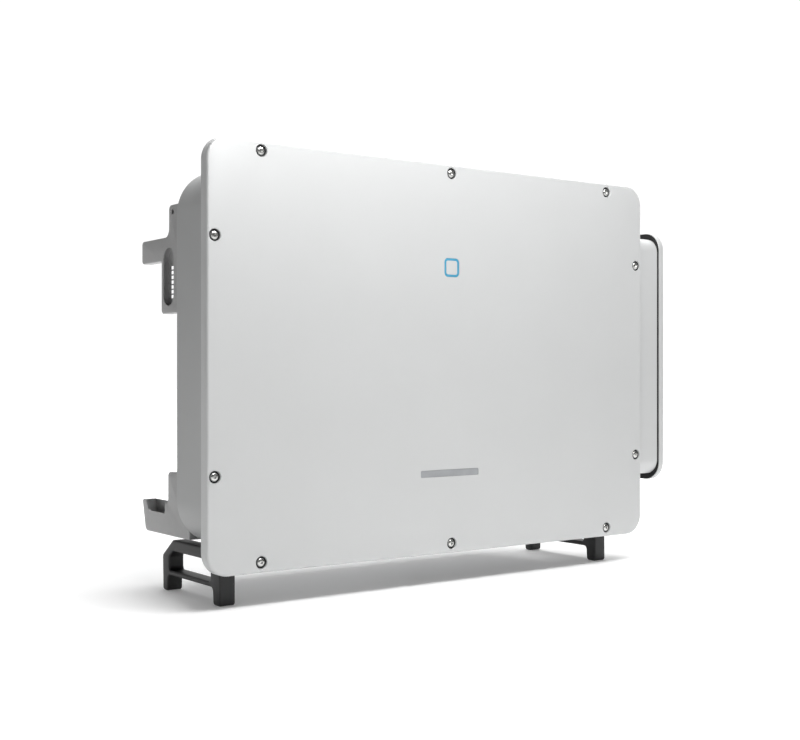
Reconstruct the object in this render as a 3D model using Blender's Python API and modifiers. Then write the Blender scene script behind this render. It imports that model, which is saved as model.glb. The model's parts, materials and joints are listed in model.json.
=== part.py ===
"""String inverter: a wall-hung solar inverter built from separate pieces.

Metres, +Z up. The origin is the middle of the bounding box at floor level,
and the front cover faces -Y. Pieces are placed in cabinet coordinates: x to the
right of the cover's centre, d behind the cover's face, z above its centre.
"""

import math

import bmesh
import bpy
from mathutils import Matrix, Vector

# ---- driving dimensions -------------------------------------------------
OVERALL_W, OVERALL_D = 1.136, 0.361
COVER_W, COVER_H, COVER_R = 1.028, 0.733, 0.040
COVER_LIP, SKIN, RIM_WALL = 0.022, 0.002, 0.0017
FOOT_DROP = 0.0602                      # cover's lower edge above the floor
CAB_W, CAB_H, CAB_R = 0.980, 0.662, 0.080
CAB_FRONT, CAB_BACK, WALL = 0.0125, 0.164, 0.003
FLANGE_W, FLANGE_H, FLANGE_R, FLANGE_T = 1.016, 0.721, 0.034, 0.0035
MOUTH_W, MOUTH_H, MOUTH_R = 0.932, 0.632, 0.060
GAP = 0.0003                            # clearance between touching pieces
SCREW_ROW_X, SCREW_ROW_Z = (-0.411, 0.0, 0.411), 0.3485
SCREW_SIDE_X, SCREW_SIDE_Z = 0.499, 0.200
DUCT_W, DUCT_H, DUCT_BACK = 0.770, 0.600, 0.351
FAN_COUNT, FAN_PITCH, FAN_R, FAN_D = 5, 0.145, 0.062, 0.262
FAN_TRAY_LOW, FAN_TRAY_H = -0.296, 0.036
FIN_COUNT, FIN_PITCH, FIN_T = 45, 0.016, 0.0016
EAR_X, EAR_T, EAR_BACK, SLOT_DEPTH = 0.464, 0.018, 0.361, 0.0105
FOOT_X, FOOT_T = 0.4465, 0.030
BOX_FRONT, BOX_BACK, BOX_LOW, BOX_HIGH, BOX_R = 0.033, 0.158, -0.262, 0.282, 0.040
BODY_SET_BACK, DOOR_OVERHANG, BODY_R = 0.0025, 0.014, 0.032
BOX_RIM, SEAM_END, DOOR_FACE = 0.6035, 0.6087, 0.622
HINGE_X, HINGE_D = 0.6125, 0.1665
KNOB_X, KNOB_D = (-0.300, -0.205, -0.110), 0.062
GLAND_X, GLAND_D = 0.385, (0.048, 0.090, 0.132)
SMALL_GLAND, VENT = (-0.380, 0.110), (-0.385, 0.060)
EARTH_X, EARTH_Z = 0.411, -0.290

CENTRE = Vector((OVERALL_W / 2 - DOOR_FACE, -OVERALL_D / 2, FOOT_DROP + COVER_H / 2))

PALETTE = {
    "painted_cover": ((0.72, 0.73, 0.74), 0.45, 0.30),
    "painted_cabinet": ((0.42, 0.43, 0.44), 0.45, 0.20),
    "cast_aluminium": ((0.50, 0.51, 0.52), 0.42, 0.60),
    "fin_aluminium": ((0.60, 0.61, 0.62), 0.35, 0.90),
    "galvanised_sheet": ((0.55, 0.56, 0.57), 0.40, 0.80),
    "black_plastic": ((0.035, 0.035, 0.037), 0.50, 0.0),
    "seal_rubber": ((0.03, 0.03, 0.03), 0.85, 0.0),
    "stainless_steel": ((0.62, 0.62, 0.62), 0.25, 1.0),
    "light_guide": ((0.10, 0.50, 0.85), 0.20, 0.0),
    "board_green": ((0.03, 0.20, 0.10), 0.50, 0.0),
    "grey_plastic": ((0.25, 0.26, 0.27), 0.50, 0.0),
    "brass_terminal": ((0.75, 0.58, 0.28), 0.30, 1.0),
    "potted_aluminium": ((0.35, 0.36, 0.37), 0.50, 0.6),
}


def clear_scene():
    for old in list(bpy.data.objects):
        bpy.data.objects.remove(old)


def new_collection(name):
    group = bpy.data.collections.new(name)
    bpy.context.scene.collection.children.link(group)
    return group


def material(name):
    found = bpy.data.materials.get(name)
    if found:
        return found
    colour, roughness, metallic = PALETTE[name]
    made = bpy.data.materials.new(name)
    made.use_nodes = True
    shader = made.node_tree.nodes["Principled BSDF"]
    shader.inputs["Base Color"].default_value = (*colour, 1.0)
    shader.inputs["Roughness"].default_value = roughness
    shader.inputs["Metallic"].default_value = metallic
    return made


# ---- outlines: lists of 2D points ----------------------------------------
def arc(cx, cy, radius, start, end, steps):
    """Points on an arc, angles in degrees, both ends included."""
    angles = [math.radians(start + (end - start) * i / steps) for i in range(steps + 1)]
    return [(cx + radius * math.cos(a), cy + radius * math.sin(a)) for a in angles]


def round_rect(low, high, radius, steps=6):
    """A rectangle between two corners, with its own corners rounded."""
    (x0, y0), (x1, y1) = low, high
    points = []
    for cx, cy, start in ((x1 - radius, y0 + radius, -90), (x1 - radius, y1 - radius, 0),
                          (x0 + radius, y1 - radius, 90), (x0 + radius, y0 + radius, 180)):
        points += arc(cx, cy, radius, start, start + 90, steps)
    return points


def centred(width, height, radius, steps=6, middle=(0.0, 0.0)):
    mx, my = middle
    return round_rect((mx - width / 2, my - height / 2), (mx + width / 2, my + height / 2),
                      radius, steps)


def rect(low, high):
    return [low, (high[0], low[1]), high, (low[0], high[1])]


def circle(cx, cy, radius, sides=24):
    return arc(cx, cy, radius, 0, 360 - 360 / sides, sides - 1)


def rounded(corners, steps=3):
    """An outline from (x, y, radius) corners; each radius is cut in as an arc of chords."""
    points = []
    for i, (x, y, radius) in enumerate(corners):
        corner = Vector((x, y))
        before = (Vector(corners[i - 1][:2]) - corner).normalized()
        after = (Vector(corners[(i + 1) % len(corners)][:2]) - corner).normalized()
        if not radius:
            points.append((x, y))
            continue
        half = before.angle(after) / 2
        reach = radius / math.tan(half)
        middle = corner + (before + after).normalized() * radius / math.sin(half)
        start = corner + before * reach - middle
        turn = start.angle_signed(corner + after * reach - middle)
        for k in range(steps + 1):
            spoke = Matrix.Rotation(-turn * k / steps, 2) @ start
            points.append(tuple(middle + spoke))
    return points


# ---- solids ---------------------------------------------------------------
# Each face direction turns a flat outline into the cabinet: its two outline
# axes, then the direction in which the thickness runs.
FRONT = Matrix(((1, 0, 0), (0, 0, -1), (0, 1, 0)))      # outline (x, z), thickness -Y
SIDE = Matrix(((0, 0, 1), (1, 0, 0), (0, 1, 0)))        # outline (d, z), thickness +X
FLOOR = Matrix(((1, 0, 0), (0, 1, 0), (0, 0, 1)))       # outline (x, d), thickness +Z


def place(name, mesh, colour, cutter=False):
    made = bpy.data.objects.new(name, mesh)
    if cutter:
        CUTTERS.objects.link(made)
        made.hide_render = True
        made.display_type = 'WIRE'
    else:
        PARTS.objects.link(made)
        made.data.materials.clear()
        made.data.materials.append(material(colour))
        made.data.set_sharp_from_angle(angle=math.radians(35))
    return made


def plate(name, loops, start, end, face, colour=None):
    """A flat outline, with any inner loops as holes, from start to end along its face's normal."""
    curve = bpy.data.curves.new(name, 'CURVE')
    curve.dimensions = '2D'
    curve.fill_mode = 'BOTH'
    curve.extrude = (end - start) / 2
    for loop in loops:
        spline = curve.splines.new('POLY')
        spline.points.add(len(loop) - 1)
        for point, (u, v) in zip(spline.points, loop):
            point.co = (u, v, 0, 1)
        spline.use_cyclic_u = True
    guide = bpy.data.objects.new(name + "_outline", curve)
    CUTTERS.objects.link(guide)
    mesh = bpy.data.meshes.new_from_object(guide.evaluated_get(bpy.context.evaluated_depsgraph_get()))
    bpy.data.objects.remove(guide)
    shape = bmesh.new()
    shape.from_mesh(mesh)
    bmesh.ops.remove_doubles(shape, verts=shape.verts, dist=1e-6)
    middle = (start + end) / 2
    if face is FRONT:
        middle = -middle
    turn = face.to_4x4() @ Matrix.Translation((0, 0, middle))
    bmesh.ops.transform(shape, matrix=Matrix.Translation(CENTRE) @ turn, verts=shape.verts)
    bmesh.ops.recalc_face_normals(shape, faces=shape.faces)
    shape.to_mesh(mesh)
    shape.free()
    mesh.name = name
    return place(name, mesh, colour, cutter=colour is None)


def block(name, low, high, colour=None):
    """A box between two corners given as (x, d, z)."""
    shape = bmesh.new()
    bmesh.ops.create_cube(shape, size=1.0)
    size = Vector(high) - Vector(low)
    bmesh.ops.scale(shape, vec=size, verts=shape.verts)
    bmesh.ops.translate(shape, vec=CENTRE + Vector(low) + size / 2, verts=shape.verts)
    mesh = bpy.data.meshes.new(name)
    shape.to_mesh(mesh)
    shape.free()
    return place(name, mesh, colour, cutter=colour is None)


def turned(name, profile, at, axis, colour=None, sides=24):
    """A solid of revolution: (radius, height) points from top to bottom along axis through at."""
    mesh = bpy.data.meshes.new(name)
    shape = bmesh.new()
    line = [shape.verts.new((radius, 0, height)) for radius, height in profile]
    for first, second in zip(line, line[1:]):
        shape.edges.new((first, second))
    bmesh.ops.spin(shape, geom=shape.verts[:] + shape.edges[:], cent=(0, 0, 0), axis=(0, 0, 1),
                   angle=2 * math.pi, steps=sides, use_duplicate=False)
    bmesh.ops.remove_doubles(shape, verts=shape.verts, dist=1e-6)
    turn = Vector((0, 0, 1)).rotation_difference(Vector(axis)).to_matrix().to_4x4()
    bmesh.ops.transform(shape, matrix=Matrix.Translation(CENTRE + Vector(at)) @ turn,
                        verts=shape.verts)
    bmesh.ops.recalc_face_normals(shape, faces=shape.faces)
    shape.to_mesh(mesh)
    shape.free()
    return place(name, mesh, colour, cutter=colour is None)


def combine(target, cutters, operation='DIFFERENCE', solver='EXACT'):
    """Boolean modifiers that stay live; each cutter is hidden."""
    for cutter in cutters:
        step = target.modifiers.new(cutter.name, 'BOOLEAN')
        step.operation = operation
        step.object = cutter
        step.solver = solver
    return target


def soften(target, width, segments=2, angle=50):
    step = target.modifiers.new("soft_edges", 'BEVEL')
    step.width = width
    step.segments = segments
    step.limit_method = 'ANGLE'
    step.angle_limit = math.radians(angle)
    return target


def cover_screw_places():
    rows = [(x, z) for z in (SCREW_ROW_Z, -SCREW_ROW_Z) for x in SCREW_ROW_X]
    sides = [(x, z) for x in (-SCREW_SIDE_X, SCREW_SIDE_X) for z in (SCREW_SIDE_Z, -SCREW_SIDE_Z)]
    return rows + sides


def fan_places():
    first = -FAN_PITCH * (FAN_COUNT - 1) / 2
    return [first + FAN_PITCH * i for i in range(FAN_COUNT)]


# ---- front cover ------------------------------------------------------------
ICON_Z, ICON = 0.171, 0.0354


def make_front_cover():
    cover = plate("front_cover", [centred(COVER_W, COVER_H, COVER_R)], 0, COVER_LIP, FRONT,
                  "painted_cover")
    edge = cover.modifiers.new("soft_edges", 'BEVEL')
    edge.width = 0.004
    edge.segments = 2
    edge.limit_method = 'ANGLE'
    edge.angle_limit = math.radians(60)
    inner = centred(COVER_W - 2 * SKIN, COVER_H - 2 * SKIN, COVER_R - SKIN)
    bosses = [circle(x, z, 0.0125, 12) for x, z in cover_screw_places()]
    stepped = [(0, 0.01), (0.0105, 0.01), (0.0105, -0.004), (0.0034, -0.004), (0.0034, -0.03), (0, -0.03)]
    holes = [turned(f"cut_screw_{i}", stepped, (x, 0, z), (0, -1, 0), sides=12)
             for i, (x, z) in enumerate(cover_screw_places())]
    rim = centred(COVER_W - 2 * RIM_WALL, COVER_H - 2 * RIM_WALL, COVER_R - RIM_WALL)
    icon = plate("cut_icon", [centred(ICON, ICON, 0.008, 4, (0, ICON_Z))], -0.01, 0.03, FRONT)
    pan = [plate("cut_rim", [rim], CAB_FRONT - GAP, 0.03, FRONT),
           plate("cut_pan", [inner] + bosses, SKIN, CAB_FRONT, FRONT)]
    # The thin rim leaves slivers that the exact solver opens, so this shell uses the other one.
    combine(cover, pan + holes + [icon], solver='MANIFOLD')


def make_cover_screw(name, x, z):
    profile = [(0, -0.0008), (0.0035, -0.0012), (0.0060, -0.0024), (0.0072, -0.0037),
               (0.0030, -0.0037), (0.0030, -0.0230), (0, -0.0230)]
    turned(name, profile, (x, 0, z), (0, -1, 0), "stainless_steel", 12)


def make_cover_fittings():
    for i, (x, z) in enumerate(cover_screw_places(), 1):
        make_cover_screw(f"cover_screw_{i:02d}", x, z)
    plate("cover_gasket", [centred(0.964, 0.664, 0.076), centred(0.946, 0.646, 0.067)],
          SKIN + GAP, CAB_FRONT - GAP, FRONT, "seal_rubber")
    guide = plate("status_light_guide", [centred(0.0348, 0.0348, 0.0077, 4, (0, ICON_Z))],
                  0.0003, 0.0080, FRONT, "light_guide")
    combine(guide, [plate("cut_guide", [centred(0.0268, 0.0268, 0.005, 4, (0, ICON_Z))],
                          -0.01, 0.0045, FRONT)])
    plate("status_window_plate", [centred(0.0262, 0.0262, 0.0047, 4, (0, ICON_Z))],
          0.0003, 0.0042, FRONT, "painted_cover")


# ---- cabinet ----------------------------------------------------------------
def make_chassis():
    shell = plate("chassis_shell", [centred(CAB_W, CAB_H, CAB_R, 8)], CAB_FRONT, CAB_BACK, FRONT,
                  "painted_cabinet")
    flange = plate("join_flange", [centred(FLANGE_W, FLANGE_H, FLANGE_R)],
                   CAB_FRONT, CAB_FRONT + FLANGE_T, FRONT)
    # The thin flange leaves slivers that the exact solver opens, so this shell uses the other one.
    combine(shell, [flange], 'UNION', 'MANIFOLD')
    inner = centred(CAB_W - 2 * WALL, CAB_H - 2 * WALL, CAB_R - WALL, 8)
    cuts = [plate("cut_mouth", [centred(MOUTH_W, MOUTH_H, MOUTH_R)], 0, 0.0175, FRONT),
            plate("cut_inside", [inner], CAB_FRONT + FLANGE_T, CAB_BACK - WALL, FRONT),
            plate("cut_sink_window", [centred(0.700, 0.520, 0.010, 3)], 0.15, 0.18, FRONT),
            block("cut_connectors_front", (-0.050, 0.046, -0.34), (0.330, 0.066, -0.32)),
            block("cut_connectors_rear", (-0.050, 0.106, -0.34), (0.330, 0.126, -0.32)),
            block("cut_busbar_pass", (0.48, 0.060, -0.100), (0.50, 0.130, 0.060)),
            wall_hole("cut_gland", 0.0112, *SMALL_GLAND),
            wall_hole("cut_vent", 0.0068, *VENT)]
    cuts += [wall_hole(f"cut_shaft_{i}", 0.0075, x, KNOB_D) for i, x in enumerate(KNOB_X)]
    cuts += [wall_hole(f"cut_power_{i}", 0.0125, GLAND_X, d) for i, d in enumerate(GLAND_D)]
    cuts += [plate(f"cut_flange_{i}", [circle(x, z, 0.0038, 8)], 0, 0.02, FRONT)
             for i, (x, z) in enumerate(cover_screw_places())]
    combine(shell, cuts, solver='MANIFOLD')


def wall_hole(name, radius, x, d):
    """A cutter for a round hole through the bottom wall."""
    return turned(name, [(0, 0.02), (radius, 0.02), (radius, -0.02), (0, -0.02)], (x, d, -CAB_H / 2),
                  (0, 0, 1), sides=10)


def make_heat_sink():
    """A base plate and vertical fins as one comb outline, extruded upwards."""
    half = 0.362
    root, tip = 0.177, 0.343
    outline = [(-half, CAB_BACK + GAP), (half, CAB_BACK + GAP), (half, root)]
    first = FIN_PITCH * (FIN_COUNT - 1) / 2
    for i in range(FIN_COUNT):
        x = first - FIN_PITCH * i
        outline += [(x + FIN_T / 2, root), (x + FIN_T / 2, tip), (x - FIN_T / 2, tip), (x - FIN_T / 2, root)]
    outline.append((-half, root))
    plate("heat_sink", [outline], -0.250, 0.280, FLOOR, "fin_aluminium")


def duct_inside(margin):
    """The duct's inner outline, pulled in by a margin."""
    side, front, back = DUCT_W / 2 - 0.0015 - margin, CAB_BACK + GAP + margin, DUCT_BACK - 0.0015 - margin
    return rounded([(-side, front, 0), (-side, back, 0.0105), (side, back, 0.0105), (side, front, 0)])


def make_duct():
    side, front, back, sheet = DUCT_W / 2, CAB_BACK + GAP, DUCT_BACK, 0.0015
    channel = [(-side, front, 0), (-side, back, 0.012), (side, back, 0.012), (side, front, 0),
               (side - sheet, front, 0), (side - sheet, back - sheet, 0.0105),
               (-side + sheet, back - sheet, 0.0105), (-side + sheet, front, 0)]
    plate("duct_cover", [rounded(channel)], -DUCT_H / 2, DUCT_H / 2, FLOOR, "galvanised_sheet")
    slots = []
    for column in range(5):
        x = -0.304 + column * 0.152
        slots += [rect((x - 0.070, 0.178 + 0.028 * row), (x + 0.070, 0.198 + 0.028 * row))
                  for row in range(6)]
    plate("outlet_grille", [duct_inside(0.0005)] + slots, 0.292, 0.294, FLOOR, "galvanised_sheet")
    rings = []
    for x in fan_places():
        for quarter in range(4):
            start = 90 * quarter + 6
            rings.append(arc(x, FAN_D, 0.058, start, start + 78, 3)
                         + arc(x, FAN_D, 0.024, start + 74, start + 4, 2))
    plate("inlet_guard", [duct_inside(0.0005)] + rings, -0.2995, -0.2975, FLOOR, "galvanised_sheet")


# ---- fans ---------------------------------------------------------------------
def make_fans():
    base = FAN_TRAY_LOW
    top = base + FAN_TRAY_H
    tray = plate("fan_tray", [duct_inside(0.0010)], base, top, FLOOR, "black_plastic")
    bores = [plate(f"cut_bore_{i}", [circle(x, FAN_D, FAN_R + 0.002, 20)], base - 0.01, top - 0.004, FLOOR)
             for i, x in enumerate(fan_places())]
    outlets = []
    for i, x in enumerate(fan_places()):
        for k in range(4):
            start = 90 * k + 10
            sector = (arc(x, FAN_D, 0.060, start, start + 70, 3)
                      + arc(x, FAN_D, 0.026, start + 64, start + 6, 2))
            outlets.append(plate(f"cut_outlet_{i}_{k}", [sector], top - 0.02, top + 0.01, FLOOR))
    combine(tray, bores + outlets)
    for i, x in enumerate(fan_places(), 1):
        make_rotor(f"fan_rotor_{i}", x, base + 0.004, base + 0.028)


def make_rotor(name, x, low, high):
    """Hub with seven pitched blades, its origin on the spin axis."""
    blades = 7
    hub = plate(name, [circle(0, 0, 0.023, 14)], low, high, FLOOR, "black_plastic")
    for k in range(blades):
        blade = make_blade(f"{name}_blade_{k}", low + 0.002, high - 0.002, 360 * k / blades)
        combine(hub, [blade], 'UNION')
        blade.location.x = x
        blade.location.y = FAN_D
    hub.location.x = x
    hub.location.y = FAN_D


def make_blade(name, low, high, angle):
    """A slanted blade: a thin box sheared round the axis between hub and tip."""
    shape = bmesh.new()
    bmesh.ops.create_cube(shape, size=1.0)
    span = FAN_R - 0.021
    for vert in shape.verts:
        radius = 0.021 + span * (vert.co.x + 0.5)
        level = vert.co.z
        turn = math.radians(angle + 34 * level + (5 if vert.co.y > 0 else -5) * 0.021 / radius)
        vert.co = (radius * math.cos(turn), radius * math.sin(turn),
                   low + (high - low) * (level + 0.5))
    bmesh.ops.translate(shape, vec=CENTRE, verts=shape.verts)
    bmesh.ops.recalc_face_normals(shape, faces=shape.faces)
    mesh = bpy.data.meshes.new(name)
    shape.to_mesh(mesh)
    shape.free()
    return place(name, mesh, None, cutter=True)


# ---- mounting ears ---------------------------------------------------------------
def ear_span(side, inner, outer):
    """Start and end along X of an ear layer, measured inwards from the ear's outer face."""
    near, far = EAR_X - inner, EAR_X - outer
    return (-near, -far) if side < 0 else (far, near)


def make_upper_ear(name, side):
    front = CAB_BACK + GAP
    outline = rounded([(front, 0.081, 0), (0.277, 0.081, 0.006), (0.277, 0.178, 0.006),
                       (EAR_BACK, 0.178, 0.006), (EAR_BACK, 0.221, 0.006), (0.246, 0.221, 0.014),
                       (0.246, 0.278, 0.010), (front, 0.278, 0)])
    ear = plate(name, [outline], *ear_span(side, 0, EAR_T), SIDE, "cast_aluminium")
    slot = centred(0.042, 0.106, 0.0205, 6, (0.247, 0.148))
    back = rounded([(0.180, 0.086, 0.004), (0.218, 0.086, 0.004), (0.218, 0.214, 0.004),
                    (0.180, 0.214, 0.004)], 2)
    arm = rounded([(0.282, 0.184, 0.003), (0.353, 0.184, 0.003), (0.353, 0.215, 0.003),
                   (0.282, 0.215, 0.003)], 2)
    hollow = ear_span(side, 0.005, EAR_T + 0.01)
    cuts = [plate(f"cut_{name}_slot", [slot], *ear_span(side, -0.01, SLOT_DEPTH), SIDE),
            plate(f"cut_{name}_relief", [centred(0.038, 0.100, 0.0185, 6, (0.247, 0.148))],
                  *ear_span(side, SLOT_DEPTH + 0.003, EAR_T + 0.01), SIDE),
            plate(f"cut_{name}_web", [back], *hollow, SIDE),
            plate(f"cut_{name}_arm", [arm], *hollow, SIDE),
            plate(f"cut_{name}_bolt", [circle(0.230, 0.265, 0.005, 12)],
                  *ear_span(side, -0.01, EAR_T + 0.01), SIDE)]
    for k in range(7):
        z = 0.1127 + 0.0088 * k
        cuts.append(plate(f"cut_{name}_window_{k}", [rect((0.241, z - 0.0033), (0.262, z + 0.0033))],
                          *ear_span(side, SLOT_DEPTH - 0.002, EAR_T + 0.01), SIDE))
    return combine(ear, cuts)


def make_lower_ear(name, side):
    front = CAB_BACK + GAP
    outline = rounded([(front, -0.324, 0), (0.345, -0.324, 0.008), (EAR_BACK, -0.266, 0.003),
                       (0.250, -0.266, 0.004), (0.250, -0.208, 0.006), (front, -0.208, 0)])
    ear = plate(name, [outline], *ear_span(side, 0, 0.026), SIDE, "cast_aluminium")
    cup = rounded([(0.262, -0.255, 0), (0.262, -0.310, 0.004), (0.330, -0.310, 0.004),
                   (0.352, -0.255, 0)])
    notch = rounded([(0.262, -0.255, 0), (0.262, -0.286, 0.004), (0.332, -0.286, 0.004),
                     (0.350, -0.255, 0)])
    back = rounded([(0.180, -0.316, 0.004), (0.238, -0.316, 0.004), (0.238, -0.216, 0.004),
                    (0.180, -0.216, 0.004)], 2)
    return combine(ear, [
        plate(f"cut_{name}_cup", [cup], *ear_span(side, 0.004, 0.022), SIDE),
        plate(f"cut_{name}_notch", [notch], *ear_span(side, -0.01, 0.006), SIDE),
        plate(f"cut_{name}_web", [back], *ear_span(side, 0.005, 0.04), SIDE)])


def make_foot(name, side):
    top, bottom = -CAB_H / 2 - GAP, -COVER_H / 2 - FOOT_DROP
    outline = rounded([(0.054, top, 0.002), (0.054, bottom, 0.003), (0.080, bottom, 0.003),
                       (0.082, -0.397, 0.006), (0.255, -0.397, 0.004), (0.255, bottom, 0.003),
                       (0.276, bottom, 0.003), (0.278, -0.362, 0.005), (0.236, top, 0.005)], 2)
    window = rounded([(0.090, -0.388, 0.004), (0.250, -0.388, 0.004), (0.250, -0.362, 0.006),
                      (0.236, -0.352, 0.005), (0.090, -0.352, 0.004)], 2)
    span = (side * FOOT_X - FOOT_T / 2, side * FOOT_X + FOOT_T / 2)
    return soften(plate(name, [outline, window], *span, SIDE, "black_plastic"), 0.002, 1, 60)


# ---- AC wiring box on the right side ---------------------------------------------
def door_outline(inset, steps=6):
    return round_rect((BOX_FRONT + inset, BOX_LOW + inset), (BOX_BACK - inset, BOX_HIGH - inset),
                      BOX_R - inset, steps)


def box_outline(inset, steps=6):
    """The box body's outline: lower than the door above and below, so the door overhangs it."""
    return round_rect((BOX_FRONT + BODY_SET_BACK + inset, BOX_LOW + DOOR_OVERHANG + inset),
                      (BOX_BACK - inset, BOX_HIGH - DOOR_OVERHANG - inset), BODY_R - inset, steps)


def make_ac_box():
    start = CAB_W / 2 + GAP
    shell = plate("ac_box", [box_outline(0)], start, BOX_RIM, SIDE, "painted_cover")
    combine(shell, [plate("cut_box", [box_outline(WALL)], start + WALL, BOX_RIM + 0.01, SIDE),
                    plate("cut_box_pass", [rect((0.060, -0.100), (0.130, 0.060))],
                          start - 0.01, start + 0.01, SIDE)])
    plate("ac_box_gasket", [door_outline(0.0012), box_outline(0.008)], BOX_RIM + GAP, SEAM_END, SIDE,
          "seal_rubber")


def make_ac_door():
    door = plate("ac_box_door", [door_outline(0)], SEAM_END + GAP, DOOR_FACE, SIDE, "painted_cover")
    soften(door, 0.0025, 1, 60)
    knuckles = []
    for z in (-0.150, 0.170):
        ring = turned(f"join_knuckle_{z:+.2f}", [(0.0028, 0.018), (0.0055, 0.018), (0.0055, -0.018),
                                               (0.0028, -0.018), (0.0028, 0.018)],
                      (HINGE_X, HINGE_D, z), (0, 0, 1), sides=16)
        tab = block(f"join_tab_{z:+.2f}", (HINGE_X - 0.0025, BOX_BACK - 0.006, z - 0.018),
                    (HINGE_X + 0.0025, HINGE_D - 0.0035, z + 0.018))
        knuckles += [ring, tab]
    combine(door, [plate("cut_door", [box_outline(0.011)], SEAM_END - 0.01, DOOR_FACE - SKIN - 0.001, SIDE)])
    combine(door, knuckles, 'UNION')
    for i, z in enumerate((0.210, -0.190)):
        combine(door, [plate(f"cut_door_recess_{i}", [circle(0.0435, z, 0.0065, 10)],
                             DOOR_FACE - 0.004, DOOR_FACE + 0.01, SIDE),
                       plate(f"cut_door_hole_{i}", [circle(0.0435, z, 0.0024, 8)],
                             SEAM_END - 0.01, DOOR_FACE + 0.01, SIDE)])
    for name, z in (("door_screw_upper", 0.210), ("door_screw_lower", -0.190)):
        turned(name, [(0, -0.0007), (0.0040, -0.0013), (0.0052, -0.0037), (0.0020, -0.0037),
                      (0.0020, -0.0125), (0, -0.0125)], (DOOR_FACE, 0.0435, z), (1, 0, 0),
               "stainless_steel", 10)
    for name, z in (("door_hinge_upper", 0.170), ("door_hinge_lower", -0.150)):
        make_hinge(name, z)


def make_hinge(name, z):
    """A leaf on the box with a pin that stands up into the door's knuckle."""
    top = z - 0.018 - GAP
    leaf = block(name, (0.560, BOX_BACK + GAP, top - 0.020),
                 (HINGE_X - 0.006, BOX_BACK + 0.0035, top + 0.034), "stainless_steel")
    arm = block(f"join_{name}_arm", (HINGE_X - 0.020, BOX_BACK + 0.0014, top - 0.014),
                (HINGE_X + 0.0033, HINGE_D + 0.004, top))
    pin = turned(f"join_{name}_pin", [(0, 0.033), (0.0018, 0.033), (0.0024, 0.031), (0.0024, -0.008),
                                      (0, -0.008)], (HINGE_X, HINGE_D, top), (0, 0, 1), sides=12)
    combine(leaf, [arm, pin], 'UNION')


# ---- bottom fittings -----------------------------------------------------------
UNDER = -CAB_H / 2 - GAP


def make_gland(name, x, d, radius, inner, reach):
    """A cable gland: threaded spigot through the wall, body, domed nut and a through hole."""
    profile = [(radius * 0.75, reach), (radius * 0.75, 0), (radius, 0), (radius, -0.008),
               (radius * 0.9, -0.009), (radius * 0.9, -0.020), (radius * 0.65, -0.026), (inner, -0.026),
               (inner, reach), (radius * 0.75, reach)]
    turned(name, profile, (x, d, UNDER), (0, 0, 1), "black_plastic", 12)


def make_knob(name, x):
    """Disconnect switch knob: round skirt, grip bar and a shaft up to the switch."""
    knob = turned(name, [(0, 0.024), (0.0055, 0.024), (0.0055, 0), (0.021, 0), (0.023, -0.003),
                         (0.0225, -0.009), (0.019, -0.012), (0, -0.012)], (x, KNOB_D, UNDER), (0, 0, 1),
                  "black_plastic", 20)
    grip = block(f"join_{name}_grip", (x - 0.0045, KNOB_D - 0.0185, UNDER - 0.026),
                 (x + 0.0045, KNOB_D + 0.0185, UNDER - 0.010))
    return combine(knob, [grip], 'UNION')


def make_bottom_fittings():
    for i, x in enumerate(KNOB_X, 1):
        make_knob(f"dc_switch_knob_{i}", x)
        body = block(f"dc_switch_body_{i}", (x - 0.032, KNOB_D - 0.030, -0.327),
                     (x + 0.032, KNOB_D + 0.042, -0.262), "grey_plastic")
        combine(body, [turned(f"cut_switch_{i}", [(0, 0.018), (0.0058, 0.018), (0.0058, -0.01), (0, -0.01)],
                              (x, KNOB_D, -0.322), (0, 0, 1), sides=10)])
    for row, d in (("front", 0.056), ("rear", 0.116)):
        make_connector_strip(f"dc_connector_strip_{row}", d)
    make_gland("communication_gland", *SMALL_GLAND, 0.0135, 0.005, 0.012)
    for i, d in enumerate(GLAND_D, 1):
        make_gland(f"power_gland_{i}", GLAND_X, d, 0.0150, 0.0075, 0.014)
    turned("pressure_vent", [(0, 0.010), (0.006, 0.010), (0.006, 0), (0.013, 0), (0.013, -0.006),
                             (0.010, -0.009), (0, -0.009)], (*VENT, UNDER), (0, 0, 1), "black_plastic", 12)
    for name, side in (("earth_terminal_left", -1), ("earth_terminal_right", 1)):
        make_earth_terminal(name, side)


def make_connector_strip(name, d):
    """Panel sockets on one flange, with a shared back shell through the wall."""
    strip = block(name, (-0.062, d - 0.016, UNDER - 0.003), (0.342, d + 0.016, UNDER), "black_plastic")
    back = block(f"join_{name}_back", (-0.049, d - 0.009, UNDER - 0.002), (0.329, d + 0.009, UNDER + 0.012))
    combine(strip, [back], 'UNION')
    for k in range(12):
        x = -0.042 + 0.033 * k
        socket = turned(f"join_{name}_{k}", [(0, 0.002), (0.0085, 0.002), (0.0075, -0.034), (0.0035, -0.034),
                                             (0, -0.020)], (x, d, UNDER - 0.004), (0, 0, 1), sides=8)
        combine(strip, [socket], 'UNION')


def make_earth_terminal(name, side):
    """A welded stud with a washer and nut on the cabinet's rear wall, beside the duct."""
    profile = [(0, 0.020), (0.0032, 0.019), (0.0032, 0.010), (0.0060, 0.010), (0.0060, 0.004),
               (0.0085, 0.004), (0.0085, 0), (0, 0)]
    turned(name, profile, (side * EARTH_X, CAB_BACK + GAP, EARTH_Z), (0, 1, 0), "brass_terminal", 12)


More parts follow.
